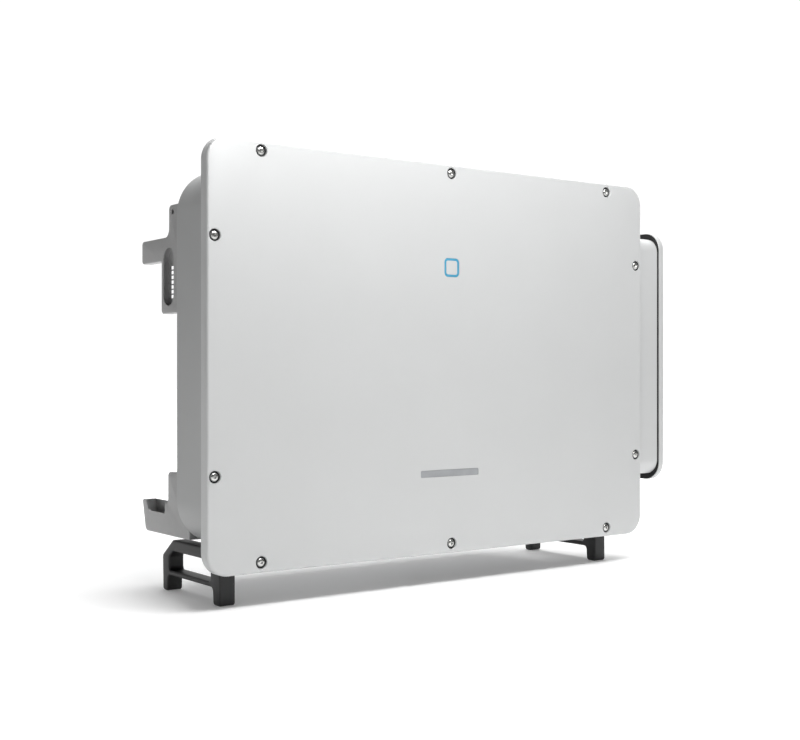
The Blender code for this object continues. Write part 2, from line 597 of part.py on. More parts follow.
# ---- electronics inside -------------------------------------------------------
def make_electronics():
    block("control_board", (-0.300, 0.0300, 0.040), (0.060, 0.0316, 0.250), "board_green")
    block("power_board", (-0.335, 0.120, -0.240), (0.335, 0.122, 0.240), "board_green")
    caps = block("capacitor_bank", (-0.310, 0.112, -0.060), (0.050, 0.1197, 0.020), "grey_plastic")
    for k in range(7):
        x = -0.280 + 0.050 * k
        can = turned(f"join_capacitor_{k}", [(0, 0.062), (0.0195, 0.062), (0.0195, 0), (0, 0)],
                     (x, 0.116, -0.020), (0, -1, 0), sides=10)
        combine(caps, [can], 'UNION')
    block("inductor_box", (0.120, 0.040, -0.190), (0.330, 0.1197, 0.180), "potted_aluminium")
    block("surge_protector_block", (-0.300, 0.060, -0.200), (-0.120, 0.1197, -0.120), "grey_plastic")
    terminals = block("ac_terminal_block", (0.4945, 0.056, -0.110), (0.540, 0.140, 0.086), "grey_plastic")
    combine(terminals, [block(f"cut_terminal_{k}", (0.506, 0.062, -0.100 + 0.046 * k),
                              (0.560, 0.134, -0.062 + 0.046 * k)) for k in range(4)])


def main():
    make_front_cover()
    make_cover_fittings()
    make_chassis()
    make_heat_sink()
    make_duct()
    make_fans()
    for name, side in (("upper_ear_left", -1), ("upper_ear_right", 1)):
        make_upper_ear(name, side)
    for name, side in (("lower_ear_left", -1), ("lower_ear_right", 1)):
        make_lower_ear(name, side)
    for name, side in (("foot_left", -1), ("foot_right", 1)):
        make_foot(name, side)
    make_ac_box()
    make_ac_door()
    make_bottom_fittings()
    make_electronics()


clear_scene()
PARTS = new_collection("string_inverter")
CUTTERS = new_collection("cutters")
main()
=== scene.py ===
"""Looks of a wall-hung string inverter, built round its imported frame.

Laid out as an add-on: property groups hold the sizes and colours, one operator makes each
piece or group of like pieces, and main() calls them in order. Positions come from the frame.
Cabinet coordinates are x to the right of the cover's centre, d behind its face, z above its
centre, all in metres.
"""

import json
import math

import bmesh
import bpy
from mathutils import Matrix, Vector


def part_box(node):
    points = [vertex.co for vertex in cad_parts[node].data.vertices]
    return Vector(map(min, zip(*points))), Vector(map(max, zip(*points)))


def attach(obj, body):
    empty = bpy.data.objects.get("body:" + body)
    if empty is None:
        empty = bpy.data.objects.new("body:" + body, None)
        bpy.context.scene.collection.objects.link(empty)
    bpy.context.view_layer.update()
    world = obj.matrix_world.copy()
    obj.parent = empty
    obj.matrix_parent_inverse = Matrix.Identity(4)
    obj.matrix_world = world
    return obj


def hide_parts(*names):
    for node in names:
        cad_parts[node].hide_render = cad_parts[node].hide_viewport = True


bl_info = {
    "name": "String Inverter",
    "version": (1, 0, 0),
    "blender": (4, 5, 0),
    "location": "View3D > Sidebar > Inverter",
    "description": "Makes the detailed pieces and finishes of a string inverter",
    "category": "Object",
}

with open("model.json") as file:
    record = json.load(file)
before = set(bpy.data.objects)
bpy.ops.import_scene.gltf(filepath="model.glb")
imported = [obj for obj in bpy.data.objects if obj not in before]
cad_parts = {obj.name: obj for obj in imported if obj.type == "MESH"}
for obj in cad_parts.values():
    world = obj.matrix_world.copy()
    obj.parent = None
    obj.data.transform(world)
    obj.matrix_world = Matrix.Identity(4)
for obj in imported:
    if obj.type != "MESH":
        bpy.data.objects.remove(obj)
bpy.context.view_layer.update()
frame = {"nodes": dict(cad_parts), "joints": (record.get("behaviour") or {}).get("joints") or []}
NODES = frame["nodes"]
CABINET = "cabinet"

COVER_LOW, COVER_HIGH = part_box("front_cover")
CENTRE = Vector(((COVER_LOW.x + COVER_HIGH.x) / 2, COVER_LOW.y, (COVER_LOW.z + COVER_HIGH.z) / 2))


def local_box(node):
    """A node's low and high corners in cabinet coordinates."""
    low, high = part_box(node)
    return low - CENTRE, high - CENTRE


def middle(node):
    """Middle of a CAD node, in cabinet coordinates."""
    low, high = local_box(node)
    return (low + high) / 2


# ---- sizes and colours that a user would change ------------------------------
def size_prop(name, value, description):
    """A length property, in metres."""
    return bpy.props.FloatProperty(name=name, default=value, min=0.0, unit='LENGTH', description=description)


def colour_prop(name, code, description):
    """A colour property, from its hex code."""
    return bpy.props.FloatVectorProperty(name=name, default=linear(code), size=3, min=0.0, max=1.0,
                                         subtype='COLOR', description=description)


def linear(code):
    """An sRGB hex colour as linear red, green and blue."""
    channels = [int(code[i:i + 2], 16) / 255 for i in (1, 3, 5)]
    return tuple(c / 12.92 if c <= 0.04045 else ((c + 0.055) / 1.055) ** 2.4 for c in channels)


class InverterSizes(bpy.types.PropertyGroup):
    cover_corner: size_prop("Cover corner", 0.040, "Corner radius of the front cover")
    cover_edge: size_prop("Cover edge", 0.0045, "Rounding of the cover's front edge")
    cover_skin: size_prop("Cover skin", 0.002, "Sheet thickness of the cover")
    cabinet_corner: size_prop("Cabinet corner", 0.080, "Corner radius of the cabinet behind the cover")
    cabinet_edge: size_prop("Cabinet edge", 0.006, "Rounding of the cabinet's rear edge")
    screw_recess: size_prop("Screw recess", 0.0105, "Radius of the recess round a cover screw")
    screw_head: size_prop("Screw head", 0.0072, "Radius of a cover screw's head")
    light_line: size_prop("Light line", 0.0042, "Width of the status light's line")
    box_corner: size_prop("Wiring box corner", 0.040, "Corner radius of the side wiring box")
    cast_edge: size_prop("Cast edge", 0.0018, "Rounding of the cast ears' edges")
    foot_edge: size_prop("Foot edge", 0.0034, "Rounding of the moulded feet's edges")
    fin_thickness: size_prop("Fin thickness", 0.0016, "Thickness of one heat sink fin")
    wire: size_prop("Guard wire", 0.0022, "Wire diameter of the fan guards")


class InverterColours(bpy.types.PropertyGroup):
    cover: colour_prop("Cover paint", "#C2C3C3", "Silver-grey powder coat of cover and wiring box")
    # Darker than the cover's paint; the difference is partly painted shade for the cabinet's sides, which
    # face away from the light.
    cabinet: colour_prop("Cabinet paint", "#A5A6A6", "Powder coat of the cabinet")
    casting: colour_prop("Casting", "#A8A8A8", "Blasted die-cast aluminium")
    plastic: colour_prop("Black plastic", "#1A1A1B", "Glass-filled black moulding")
    # The seal colour also darkens the cover screws' washers, whose dark ring is partly painted shadow for the
    # gap round each head.
    seal: colour_prop("Seal", "#1E1E1F", "Foamed rubber seal")
    light: colour_prop("Status light", "#3F86A3", "Lit line of the status window")
    print_grey: colour_prop("Plate grey", "#8D8F91", "Blank name plate")


# ---- materials ---------------------------------------------------------------
MATERIALS = {}


def add(tree, kind, inputs=None, **settings):
    """Adds a node, sets its properties, and fills or links its inputs."""
    node = tree.nodes.new(kind)
    for name, value in settings.items():
        setattr(node, name, value)
    for name, value in (inputs or {}).items():
        if isinstance(value, bpy.types.NodeSocket):
            tree.links.new(value, node.inputs[name])
        else:
            node.inputs[name].default_value = value
    return node


def start_material(name):
    """A new node material, its shader and its Object coordinates."""
    made = bpy.data.materials.new(name)
    made.use_nodes = True
    tree = made.node_tree
    shader = tree.nodes["Principled BSDF"]
    place = add(tree, "ShaderNodeTexCoord").outputs["Object"]
    MATERIALS[name] = made
    return tree, shader, place


def rgba(colour, factor=1.0):
    """A linear colour, made lighter or darker by a factor, with full alpha."""
    return (*(min(1.0, c * factor) for c in colour), 1.0)


def per_mm(size_mm):
    """Texture scale that makes one cell of a pattern this many millimetres wide."""
    return 1000.0 / size_mm


def powder_coat(name, colour, metallic, roughness):
    """Powder coat, oven-cured: fine orange peel over a satin silver-grey, with faint cloudiness."""
    tree, shader, place = start_material(name)
    cloud = add(tree, "ShaderNodeTexNoise", {"Vector": place, "Scale": per_mm(160), "Detail": 3.0})
    speck = add(tree, "ShaderNodeTexNoise", {"Vector": place, "Scale": per_mm(1.6), "Detail": 2.0,
                                            "Roughness": 0.6})
    mixed = add(tree, "ShaderNodeMath", {0: cloud.outputs["Fac"], 1: speck.outputs["Fac"]})
    ramp = add(tree, "ShaderNodeValToRGB", {"Fac": add(tree, "ShaderNodeMath", {
        0: mixed.outputs[0], 1: 0.5}, operation='MULTIPLY').outputs[0]})
    ramp.color_ramp.elements[0].position = 0.34
    ramp.color_ramp.elements[0].color = rgba(colour, 0.985)
    ramp.color_ramp.elements[1].position = 0.66
    ramp.color_ramp.elements[1].color = rgba(colour, 1.015)
    tree.links.new(ramp.outputs["Color"], shader.inputs["Base Color"])
    gloss = add(tree, "ShaderNodeMapRange", {"Value": speck.outputs["Fac"], "To Min": roughness - 0.05,
                                            "To Max": roughness + 0.07})
    tree.links.new(gloss.outputs["Result"], shader.inputs["Roughness"])
    peel = add(tree, "ShaderNodeBump", {"Height": speck.outputs["Fac"], "Strength": 0.10, "Distance": 0.0004})
    tree.links.new(peel.outputs["Normal"], shader.inputs["Normal"])
    shader.inputs["Metallic"].default_value = metallic


def cast_metal(name, colour):
    """Die-cast aluminium, shot blasted: a dull mottled grey with small pits and brighter high spots."""
    tree, shader, place = start_material(name)
    mottle = add(tree, "ShaderNodeTexNoise", {"Vector": place, "Scale": per_mm(14), "Detail": 5.0,
                                             "Roughness": 0.65})
    pits = add(tree, "ShaderNodeTexVoronoi", {"Vector": place, "Scale": per_mm(1.3)})
    ramp = add(tree, "ShaderNodeValToRGB", {"Fac": mottle.outputs["Fac"]})
    ramp.color_ramp.elements[0].position = 0.25
    ramp.color_ramp.elements[0].color = rgba(colour, 0.94)
    ramp.color_ramp.elements[1].position = 0.75
    ramp.color_ramp.elements[1].color = rgba(colour, 1.05)
    tree.links.new(ramp.outputs["Color"], shader.inputs["Base Color"])
    grit = add(tree, "ShaderNodeBump", {"Height": pits.outputs["Distance"], "Strength": 0.22,
                                       "Distance": 0.0003})
    tree.links.new(grit.outputs["Normal"], shader.inputs["Normal"])
    gloss = add(tree, "ShaderNodeMapRange", {"Value": mottle.outputs["Fac"], "To Min": 0.38, "To Max": 0.55})
    tree.links.new(gloss.outputs["Result"], shader.inputs["Roughness"])
    shader.inputs["Metallic"].default_value = 0.55


def moulded_plastic(name, colour, roughness=0.46, grain_mm=0.9):
    """Glass-filled nylon or PBT from a spark-eroded mould: fine even grain and a soft sheen."""
    tree, shader, place = start_material(name)
    grain = add(tree, "ShaderNodeTexNoise", {"Vector": place, "Scale": per_mm(grain_mm), "Detail": 2.0})
    cloud = add(tree, "ShaderNodeTexNoise", {"Vector": place, "Scale": per_mm(35), "Detail": 3.0})
    ramp = add(tree, "ShaderNodeValToRGB", {"Fac": cloud.outputs["Fac"]})
    ramp.color_ramp.elements[0].color = rgba(colour, 0.80)
    ramp.color_ramp.elements[1].color = rgba(colour, 1.25)
    tree.links.new(ramp.outputs["Color"], shader.inputs["Base Color"])
    bump = add(tree, "ShaderNodeBump", {"Height": grain.outputs["Fac"], "Strength": 0.18, "Distance": 0.0003})
    tree.links.new(bump.outputs["Normal"], shader.inputs["Normal"])
    gloss = add(tree, "ShaderNodeMapRange", {"Value": grain.outputs["Fac"], "To Min": roughness - 0.06,
                                            "To Max": roughness + 0.08})
    tree.links.new(gloss.outputs["Result"], shader.inputs["Roughness"])


def drawn_metal(name, colour, stretch, roughness, lines_mm=0.6):
    """Extruded, drawn or brushed metal: fine lines that run along one axis."""
    tree, shader, place = start_material(name)
    along = add(tree, "ShaderNodeMapping", {"Vector": place, "Scale": stretch})
    lines = add(tree, "ShaderNodeTexNoise", {"Vector": along.outputs["Vector"], "Scale": per_mm(lines_mm),
                                            "Detail": 3.0})
    ramp = add(tree, "ShaderNodeValToRGB", {"Fac": lines.outputs["Fac"]})
    ramp.color_ramp.elements[0].position = 0.25
    ramp.color_ramp.elements[0].color = rgba(colour, 0.82)
    ramp.color_ramp.elements[1].position = 0.75
    ramp.color_ramp.elements[1].color = rgba(colour, 1.12)
    tree.links.new(ramp.outputs["Color"], shader.inputs["Base Color"])
    gloss = add(tree, "ShaderNodeMapRange", {"Value": lines.outputs["Fac"], "To Min": roughness - 0.07,
                                            "To Max": roughness + 0.10})
    tree.links.new(gloss.outputs["Result"], shader.inputs["Roughness"])
    bump = add(tree, "ShaderNodeBump", {"Height": lines.outputs["Fac"], "Strength": 0.08, "Distance": 0.0002})
    tree.links.new(bump.outputs["Normal"], shader.inputs["Normal"])
    shader.inputs["Metallic"].default_value = 1.0


def zinc_sheet(name):
    """Hot-dip galvanised steel: zinc spangle, crystals 6 to 12 mm across in slightly different greys."""
    tree, shader, place = start_material(name)
    spangle = add(tree, "ShaderNodeTexVoronoi", {"Vector": place, "Scale": per_mm(9)})
    shade = add(tree, "ShaderNodeSeparateColor", {"Color": spangle.outputs["Color"]})
    ramp = add(tree, "ShaderNodeValToRGB", {"Fac": shade.outputs["Red"]})
    ramp.color_ramp.elements[0].color = rgba(linear("#B4B7B9"))
    ramp.color_ramp.elements[1].color = rgba(linear("#C3C6C8"))
    tree.links.new(ramp.outputs["Color"], shader.inputs["Base Color"])
    gloss = add(tree, "ShaderNodeMapRange", {"Value": shade.outputs["Green"], "To Min": 0.30, "To Max": 0.48})
    tree.links.new(gloss.outputs["Result"], shader.inputs["Roughness"])
    edge = add(tree, "ShaderNodeBump", {"Height": spangle.outputs["Distance"], "Strength": 0.03,
                                       "Distance": 0.0003})
    tree.links.new(edge.outputs["Normal"], shader.inputs["Normal"])
    shader.inputs["Metallic"].default_value = 0.9


def foam_seal(name, colour):
    """Foamed-in-place sealing rubber: dull black with fine open cells."""
    tree, shader, place = start_material(name)
    cells = add(tree, "ShaderNodeTexVoronoi", {"Vector": place, "Scale": per_mm(1.1)})
    ramp = add(tree, "ShaderNodeValToRGB", {"Fac": cells.outputs["Distance"]})
    ramp.color_ramp.elements[0].color = rgba(colour, 1.4)
    ramp.color_ramp.elements[1].color = rgba(colour, 0.7)
    tree.links.new(ramp.outputs["Color"], shader.inputs["Base Color"])
    bump = add(tree, "ShaderNodeBump", {"Height": cells.outputs["Distance"], "Strength": 0.3,
                                       "Distance": 0.0004})
    tree.links.new(bump.outputs["Normal"], shader.inputs["Normal"])
    shader.inputs["Roughness"].default_value = 0.85


def lit_acrylic(name, colour):
    """Diffusing acrylic light guide, lit from behind: the line glows a little unevenly."""
    tree, shader, place = start_material(name)
    haze = add(tree, "ShaderNodeTexNoise", {"Vector": place, "Scale": per_mm(9), "Detail": 2.0})
    ramp = add(tree, "ShaderNodeValToRGB", {"Fac": haze.outputs["Fac"]})
    ramp.color_ramp.elements[0].color = rgba(colour, 0.85)
    ramp.color_ramp.elements[1].color = rgba(colour, 1.25)
    tree.links.new(ramp.outputs["Color"], shader.inputs["Base Color"])
    tree.links.new(ramp.outputs["Color"], shader.inputs["Emission Color"])
    shader.inputs["Emission Strength"].default_value = 0.12
    shader.inputs["Roughness"].default_value = 0.25


def circuit_board(name):
    """Glass-epoxy board under green solder mask, with straight tracks at a 2.5 mm pitch."""
    tree, shader, place = start_material(name)
    tracks = add(tree, "ShaderNodeTexBrick", {"Vector": place, "Scale": 1.0, "Mortar Size": 0.00035,
                                             "Brick Width": 0.031, "Row Height": 0.0025,
                                             "Color1": rgba(linear("#1E6B3A")),
                                             "Color2": rgba(linear("#1A5F34")),
                                             "Mortar": rgba(linear("#2F8A50"))})
    turned_place = add(tree, "ShaderNodeMapping", {"Vector": place, "Rotation": (math.radians(90), 0, 0)})
    tree.links.new(turned_place.outputs["Vector"], tracks.inputs["Vector"])
    tree.links.new(tracks.outputs["Color"], shader.inputs["Base Color"])
    shader.inputs["Roughness"].default_value = 0.35


# The floor's own light rises along FLOOR_AHEAD, between two distances in metres from the middle.
FLOOR_AHEAD = (0.59, 0.81, 0.0)
FLOOR_REACH, FLOOR_GLOW = (0.2, 2.2), (0.16, 0.9)


def smooth_floor(name):
    """Matt studio paper: near-white with a barely visible tooth, lit from beneath towards the back."""
    tree, shader, place = start_material(name)
    tooth = add(tree, "ShaderNodeTexNoise", {"Vector": place, "Scale": per_mm(900), "Detail": 2.0})
    ramp = add(tree, "ShaderNodeValToRGB", {"Fac": tooth.outputs["Fac"]})
    ramp.color_ramp.elements[0].color = rgba(linear("#F6F6F6"))
    ramp.color_ramp.elements[1].color = rgba(linear("#FBFBFB"))
    tree.links.new(ramp.outputs["Color"], shader.inputs["Base Color"])
    ahead = add(tree, "ShaderNodeVectorMath", {0: place, 1: FLOOR_AHEAD}, operation='DOT_PRODUCT')
    glow = add(tree, "ShaderNodeMapRange", {"Value": ahead.outputs["Value"], "From Min": FLOOR_REACH[0],
                                           "From Max": FLOOR_REACH[1], "To Min": FLOOR_GLOW[0],
                                           "To Max": FLOOR_GLOW[1]})
    tree.links.new(glow.outputs["Result"], shader.inputs["Emission Strength"])
    shader.inputs["Emission Color"].default_value = (1.0, 1.0, 1.0, 1.0)
    shader.inputs["Roughness"].default_value = 0.8
    shader.inputs["Specular IOR Level"].default_value = 0.1


def make_materials():
    """Every finish of the object and of the stage."""
    colours = bpy.context.scene.inverter_colours
    powder_coat("powder_coat_silver", tuple(colours.cover), 0.30, 0.46)
    # The cabinet's coat is darker than the cover's, partly as painted shade for its sides, which face away
    # from the light.
    powder_coat("powder_coat_grey_painted_shade", tuple(colours.cabinet), 0.25, 0.48)
    cast_metal("blasted_casting", tuple(colours.casting))
    moulded_plastic("black_nylon", tuple(colours.plastic))
    moulded_plastic("black_pbt", tuple(colours.plastic), 0.34, 1.4)
    moulded_plastic("grey_nylon", linear("#707376"))
    moulded_plastic("plate_print", tuple(colours.print_grey), 0.42, 0.8)
    moulded_plastic("orange_grip", linear("#C4591D"), 0.4)
    drawn_metal("stainless_steel", linear("#C9C9C7"), (1.0, 1.0, 0.2), 0.24, 0.5)
    drawn_metal("extruded_aluminium", linear("#C3C5C7"), (1.0, 1.0, 0.03), 0.34)
    drawn_metal("zinc_wire", linear("#B9BBBC"), (1.0, 1.0, 1.0), 0.32)
    drawn_metal("tinned_brass", linear("#C9A85C"), (1.0, 1.0, 1.0), 0.28)
    drawn_metal("bare_copper", linear("#C7794F"), (1.0, 1.0, 0.1), 0.30)
    zinc_sheet("zinc_sheet")
    foam_seal("foam_seal", tuple(colours.seal))
    lit_acrylic("lit_acrylic", tuple(colours.light))
    circuit_board("solder_mask")
    smooth_floor("studio_floor")


# ---- outlines ------------------------------------------------------------------
def arc(cx, cy, radius, start, end, steps):
    """Points on an arc, angles in degrees, both ends included."""
    angles = [math.radians(start + (end - start) * i / steps) for i in range(steps + 1)]
    return [(cx + radius * math.cos(a), cy + radius * math.sin(a)) for a in angles]


def round_rect(low, high, radius, steps=12):
    """A rectangle between two corners with rounded corners, as points in order."""
    (x0, y0), (x1, y1) = low, high
    points = []
    for cx, cy, start in ((x1 - radius, y0 + radius, -90), (x1 - radius, y1 - radius, 0),
                          (x0 + radius, y1 - radius, 90), (x0 + radius, y0 + radius, 180)):
        points += arc(cx, cy, radius, start, start + 90, steps)
    return points


def circle(cx, cy, radius, sides=40):
    """Points round a circle."""
    return arc(cx, cy, radius, 0, 360 - 360 / sides, sides - 1)


def rounded(corners, steps=6):
    """An outline from (x, y, radius) corners."""
    points = []
    for i, (x, y, radius) in enumerate(corners):
        corner = Vector((x, y))
        if not radius:
            points.append((x, y))
            continue
        before = (Vector(corners[i - 1][:2]) - corner).normalized()
        after = (Vector(corners[(i + 1) % len(corners)][:2]) - corner).normalized()
        half = before.angle(after) / 2
        centre = corner + (before + after).normalized() * radius / math.sin(half)
        start = corner + before * radius / math.tan(half) - centre
        turn = start.angle_signed(corner + after * radius / math.tan(half) - centre)
        for k in range(steps + 1):
            points.append(tuple(centre + Matrix.Rotation(-turn * k / steps, 2) @ start))
    return points


# ---- solids ----------------------------------------------------------------------
FRONT = Matrix(((1, 0, 0), (0, 0, -1), (0, 1, 0)))
SIDE = Matrix(((0, 0, 1), (1, 0, 0), (0, 1, 0)))
FLOOR = Matrix(((1, 0, 0), (0, 1, 0), (0, 0, 1)))


def new_object(name, mesh, material=None, angle=32):
    """Links a finished mesh, with its faces smooth except across sharp edges."""
    made = bpy.data.objects.new(name, mesh)
    bpy.context.scene.collection.objects.link(made)
    if material:
        mesh.materials.clear()
        mesh.materials.append(MATERIALS[material])
    mesh.shade_smooth()
    mesh.set_sharp_from_angle(angle=math.radians(angle))
    return made


def finish_mesh(shape, name):
    """A mesh from a bmesh, its faces turned outwards."""
    bmesh.ops.recalc_face_normals(shape, faces=shape.faces)
    mesh = bpy.data.meshes.new(name)
    shape.to_mesh(mesh)
    shape.free()
    return mesh


def slab(name, loops, start, end, face, material=None, edge=0.0, edge_steps=3):
    """A flat outline with holes, from start to end along the face's normal, its edges rounded."""
    curve = bpy.data.curves.new(name, 'CURVE')
    curve.dimensions = '2D'
    curve.fill_mode = 'BOTH'
    curve.extrude = (end - start) / 2 - edge
    curve.bevel_depth = edge
    curve.bevel_resolution = edge_steps
    curve.offset = -edge
    for loop in loops:
        spline = curve.splines.new('POLY')
        spline.points.add(len(loop) - 1)
        for point, (u, v) in zip(spline.points, loop):
            point.co = (u, v, 0, 1)
        spline.use_cyclic_u = True
    guide = bpy.data.objects.new(name + "_outline", curve)
    bpy.context.scene.collection.objects.link(guide)
    mesh = bpy.data.meshes.new_from_object(guide.evaluated_get(bpy.context.evaluated_depsgraph_get()))
    bpy.data.objects.remove(guide)
    shape = bmesh.new()
    shape.from_mesh(mesh)
    bpy.data.meshes.remove(mesh)
    bmesh.ops.remove_doubles(shape, verts=shape.verts, dist=2e-6)
    centre = (start + end) / 2
    shift = Matrix.Translation((0, 0, -centre if face is FRONT else centre))
    bmesh.ops.transform(shape, matrix=Matrix.Translation(CENTRE) @ face.to_4x4() @ shift, verts=shape.verts)
    return new_object(name, finish_mesh(shape, name), material)


def turned(name, profile, at, axis, material=None, sides=48, angle=32):
    """A solid of revolution: (radius, height) points along axis through at, in cabinet coordinates."""
    shape = bmesh.new()
    line = [shape.verts.new((radius, 0, height)) for radius, height in profile]
    for first, second in zip(line, line[1:]):
        shape.edges.new((first, second))
    bmesh.ops.spin(shape, geom=shape.verts[:] + shape.edges[:], cent=(0, 0, 0), axis=(0, 0, 1),
                   angle=2 * math.pi, steps=sides, use_duplicate=False)
    bmesh.ops.remove_doubles(shape, verts=shape.verts, dist=1e-6)
    turn = Vector((0, 0, 1)).rotation_difference(Vector(axis)).to_matrix().to_4x4()
    bmesh.ops.transform(shape, matrix=Matrix.Translation(CENTRE + Vector(at)) @ turn, verts=shape.verts)
    return new_object(name, finish_mesh(shape, name), material, angle)


def block(name, low, high, material=None, edge=0.0, steps=2):
    """A box between two cabinet points, its edges rounded."""
    shape = bmesh.new()
    bmesh.ops.create_cube(shape, size=1.0)
    size = Vector(high) - Vector(low)
    bmesh.ops.scale(shape, vec=size, verts=shape.verts)
    bmesh.ops.translate(shape, vec=CENTRE + Vector(low) + size / 2, verts=shape.verts)
    if edge:
        bmesh.ops.bevel(shape, geom=shape.edges[:], offset=edge, segments=steps, profile=0.5,
                        affect='EDGES', clamp_overlap=True)
    return new_object(name, finish_mesh(shape, name), material)


def loft(name, rings, material=None, angle=32, closed=True):
    """Rings of equal point count joined in order; closed caps both ends."""
    shape = bmesh.new()
    rows = [[shape.verts.new(CENTRE + Vector(point)) for point in ring] for ring in rings]
    for lower, upper in zip(rows, rows[1:]):
        for i in range(len(lower)):
            j = (i + 1) % len(lower)
            shape.faces.new((lower[i], lower[j], upper[j], upper[i]))
    if closed:
        shape.faces.new(rows[0])
        shape.faces.new(rows[-1])
    return new_object(name, finish_mesh(shape, name), material, angle)


def apply_cuts(target, tools, operation='DIFFERENCE', solver='EXACT'):
    """Boolean the tools into the target's mesh, then remove them."""
    for tool in tools:
        step = target.modifiers.new("cut", 'BOOLEAN')
        step.operation = operation
        step.object = tool
        step.solver = solver
    mesh = bpy.data.meshes.new_from_object(target.evaluated_get(bpy.context.evaluated_depsgraph_get()))
    target.modifiers.clear()
    old = target.data
    target.data = mesh
    bpy.data.meshes.remove(old)
    for tool in tools:
        bpy.data.objects.remove(tool)
    mesh.shade_smooth()
    mesh.set_sharp_from_angle(angle=math.radians(32))
    return target


def join(target, others):
    """Puts the meshes of several objects into one object, keeping their materials."""
    shape = bmesh.new()
    slots = []
    for source in [target] + others:
        data = source.data
        first = len(shape.faces)
        shape.from_mesh(data)
        shape.faces.ensure_lookup_table()
        for face in shape.faces[first:]:
            used = data.materials[face.material_index] if data.materials else None
            if used not in slots:
                slots.append(used)
            face.material_index = slots.index(used)
    mesh = bpy.data.meshes.new(target.name)
    shape.to_mesh(mesh)
    shape.free()
    for used in slots:
        mesh.materials.append(used)
    target.data = mesh
    for other in others:
        bpy.data.objects.remove(other)
    return target


def settle(piece, body, slot, *replaced):
    """Hands a finished piece to its body and hides the nodes it stands for; slot is not used."""
    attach(piece, body)
    if replaced:
        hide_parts(*replaced)
    return piece


def dress(node, material):
    """Gives a frame node that keeps its own shape a finished material."""
    data = NODES[node].data
    data.materials.clear()
    data.materials.append(MATERIALS[material])


# ---- geometry nodes ------------------------------------------------------------------
def group_input(tree, name, kind, value=None):
    """A value that a node group takes in."""
    made = tree.interface.new_socket(name=name, in_out='INPUT', socket_type=kind)
    if value is not None:
        made.default_value = value
    return made


def repeat_tree():
    """One piece placed on every point, turned by an angle about its own axis, as real geometry."""
    tree = bpy.data.node_groups.new("repeat_on_points", 'GeometryNodeTree')
    group_input(tree, "Points", 'NodeSocketGeometry')
    group_input(tree, "Piece", 'NodeSocketObject')
    group_input(tree, "Material", 'NodeSocketMaterial')
    group_input(tree, "Size", 'NodeSocketFloat', 1.0)
    group_input(tree, "Turn", 'NodeSocketRotation')
    tree.interface.new_socket(name="Result", in_out='OUTPUT', socket_type='NodeSocketGeometry')
    inlet = add(tree, "NodeGroupInput")
    piece = add(tree, "GeometryNodeObjectInfo", {"Object": inlet.outputs["Piece"]})
    copies = add(tree, "GeometryNodeInstanceOnPoints", {
        "Points": inlet.outputs["Points"], "Instance": piece.outputs["Geometry"],
        "Rotation": inlet.outputs["Turn"], "Scale": inlet.outputs["Size"]})
    real = add(tree, "GeometryNodeRealizeInstances", {"Geometry": copies.outputs["Instances"]})
    painted = add(tree, "GeometryNodeSetMaterial", {"Geometry": real.outputs["Geometry"],
                                                    "Material": inlet.outputs["Material"]})
    add(tree, "NodeGroupOutput", {"Result": painted.outputs["Geometry"]})
    return tree


def run_tree(name, tree, values, source=None):
    """Runs a geometry tree on a source mesh and keeps its result as a plain mesh."""
    base = bpy.data.objects.new(name, source or bpy.data.meshes.new(name))
    bpy.context.scene.collection.objects.link(base)
    step = base.modifiers.new("nodes", 'NODES')
    step.node_group = tree
    for item in tree.interface.items_tree:
        if item.item_type == 'SOCKET' and item.in_out == 'INPUT' and item.name in values:
            step[item.identifier] = values[item.name]
    base.update_tag()
    bpy.context.view_layer.update()
    mesh = bpy.data.meshes.new_from_object(base.evaluated_get(bpy.context.evaluated_depsgraph_get()))
    bpy.data.objects.remove(base)
    mesh.name = name
    made = bpy.data.objects.new(name, mesh)
    bpy.context.scene.collection.objects.link(made)
    mesh.set_sharp_from_angle(angle=math.radians(32))
    return made


def repeat(name, piece, places, material, turn=None):
    """Copies of a piece, modelled at the cabinet centre, at cabinet places; the piece is used up."""
    points = bpy.data.meshes.new(name + "_places")
    points.from_pydata([Vector(place) for place in places], [], [])
    tree = bpy.data.node_groups.get("repeat_on_points") or repeat_tree()
    values = {"Piece": piece, "Material": MATERIALS[material]}
    if turn:
        values["Turn"] = turn
    made = run_tree(name, tree, values, points)
    bpy.data.objects.remove(piece)
    return made


def repeat_at(name, piece, places, material, turn=None):
    """repeat() for a piece modelled round the cabinet centre."""
    piece.data.transform(Matrix.Translation(-CENTRE))
    return repeat(name, piece, [CENTRE + Vector(place) for place in places], material, turn)


def sizes():
    """The sizes that the panel shows."""
    return bpy.context.scene.inverter_sizes


# ---- front cover ---------------------------------------------------------------------------
COVER_W, COVER_H = COVER_HIGH.x - COVER_LOW.x, COVER_HIGH.z - COVER_LOW.z
COVER_LIP = COVER_HIGH.y - COVER_LOW.y
SCREW_NODES = [f"cover_screw_{i:02d}" for i in range(1, 11)]
SCREW_PLACES = [(middle(node).x, middle(node).z) for node in SCREW_NODES]
ICON = middle("status_light_guide")
ICON_HALF = (local_box("status_light_guide")[1].x - local_box("status_light_guide")[0].x) / 2
CUP_DEPTH = 0.0040
PLATE_W, PLATE_H = 0.138, 0.013
NAME_X, NAME_Z = -0.004, -0.2155


def cover_ring(inset, depth, corner):
    """The cover's outline pulled in by inset, at one depth."""
    outline = round_rect((-COVER_W / 2 + inset, -COVER_H / 2 + inset),
                         (COVER_W / 2 - inset, COVER_H / 2 - inset),
                         max(corner - inset, 0.001), 16)
    return [(x, depth, z) for x, z in outline]


def edge_profile(edge, steps):
    """(inset, depth) pairs round a quarter circle, from the side to the face."""
    turns = [math.pi / 2 * i / steps for i in range(steps + 1)]
    return [(edge * (1 - math.cos(a)), edge * (1 - math.sin(a))) for a in turns]


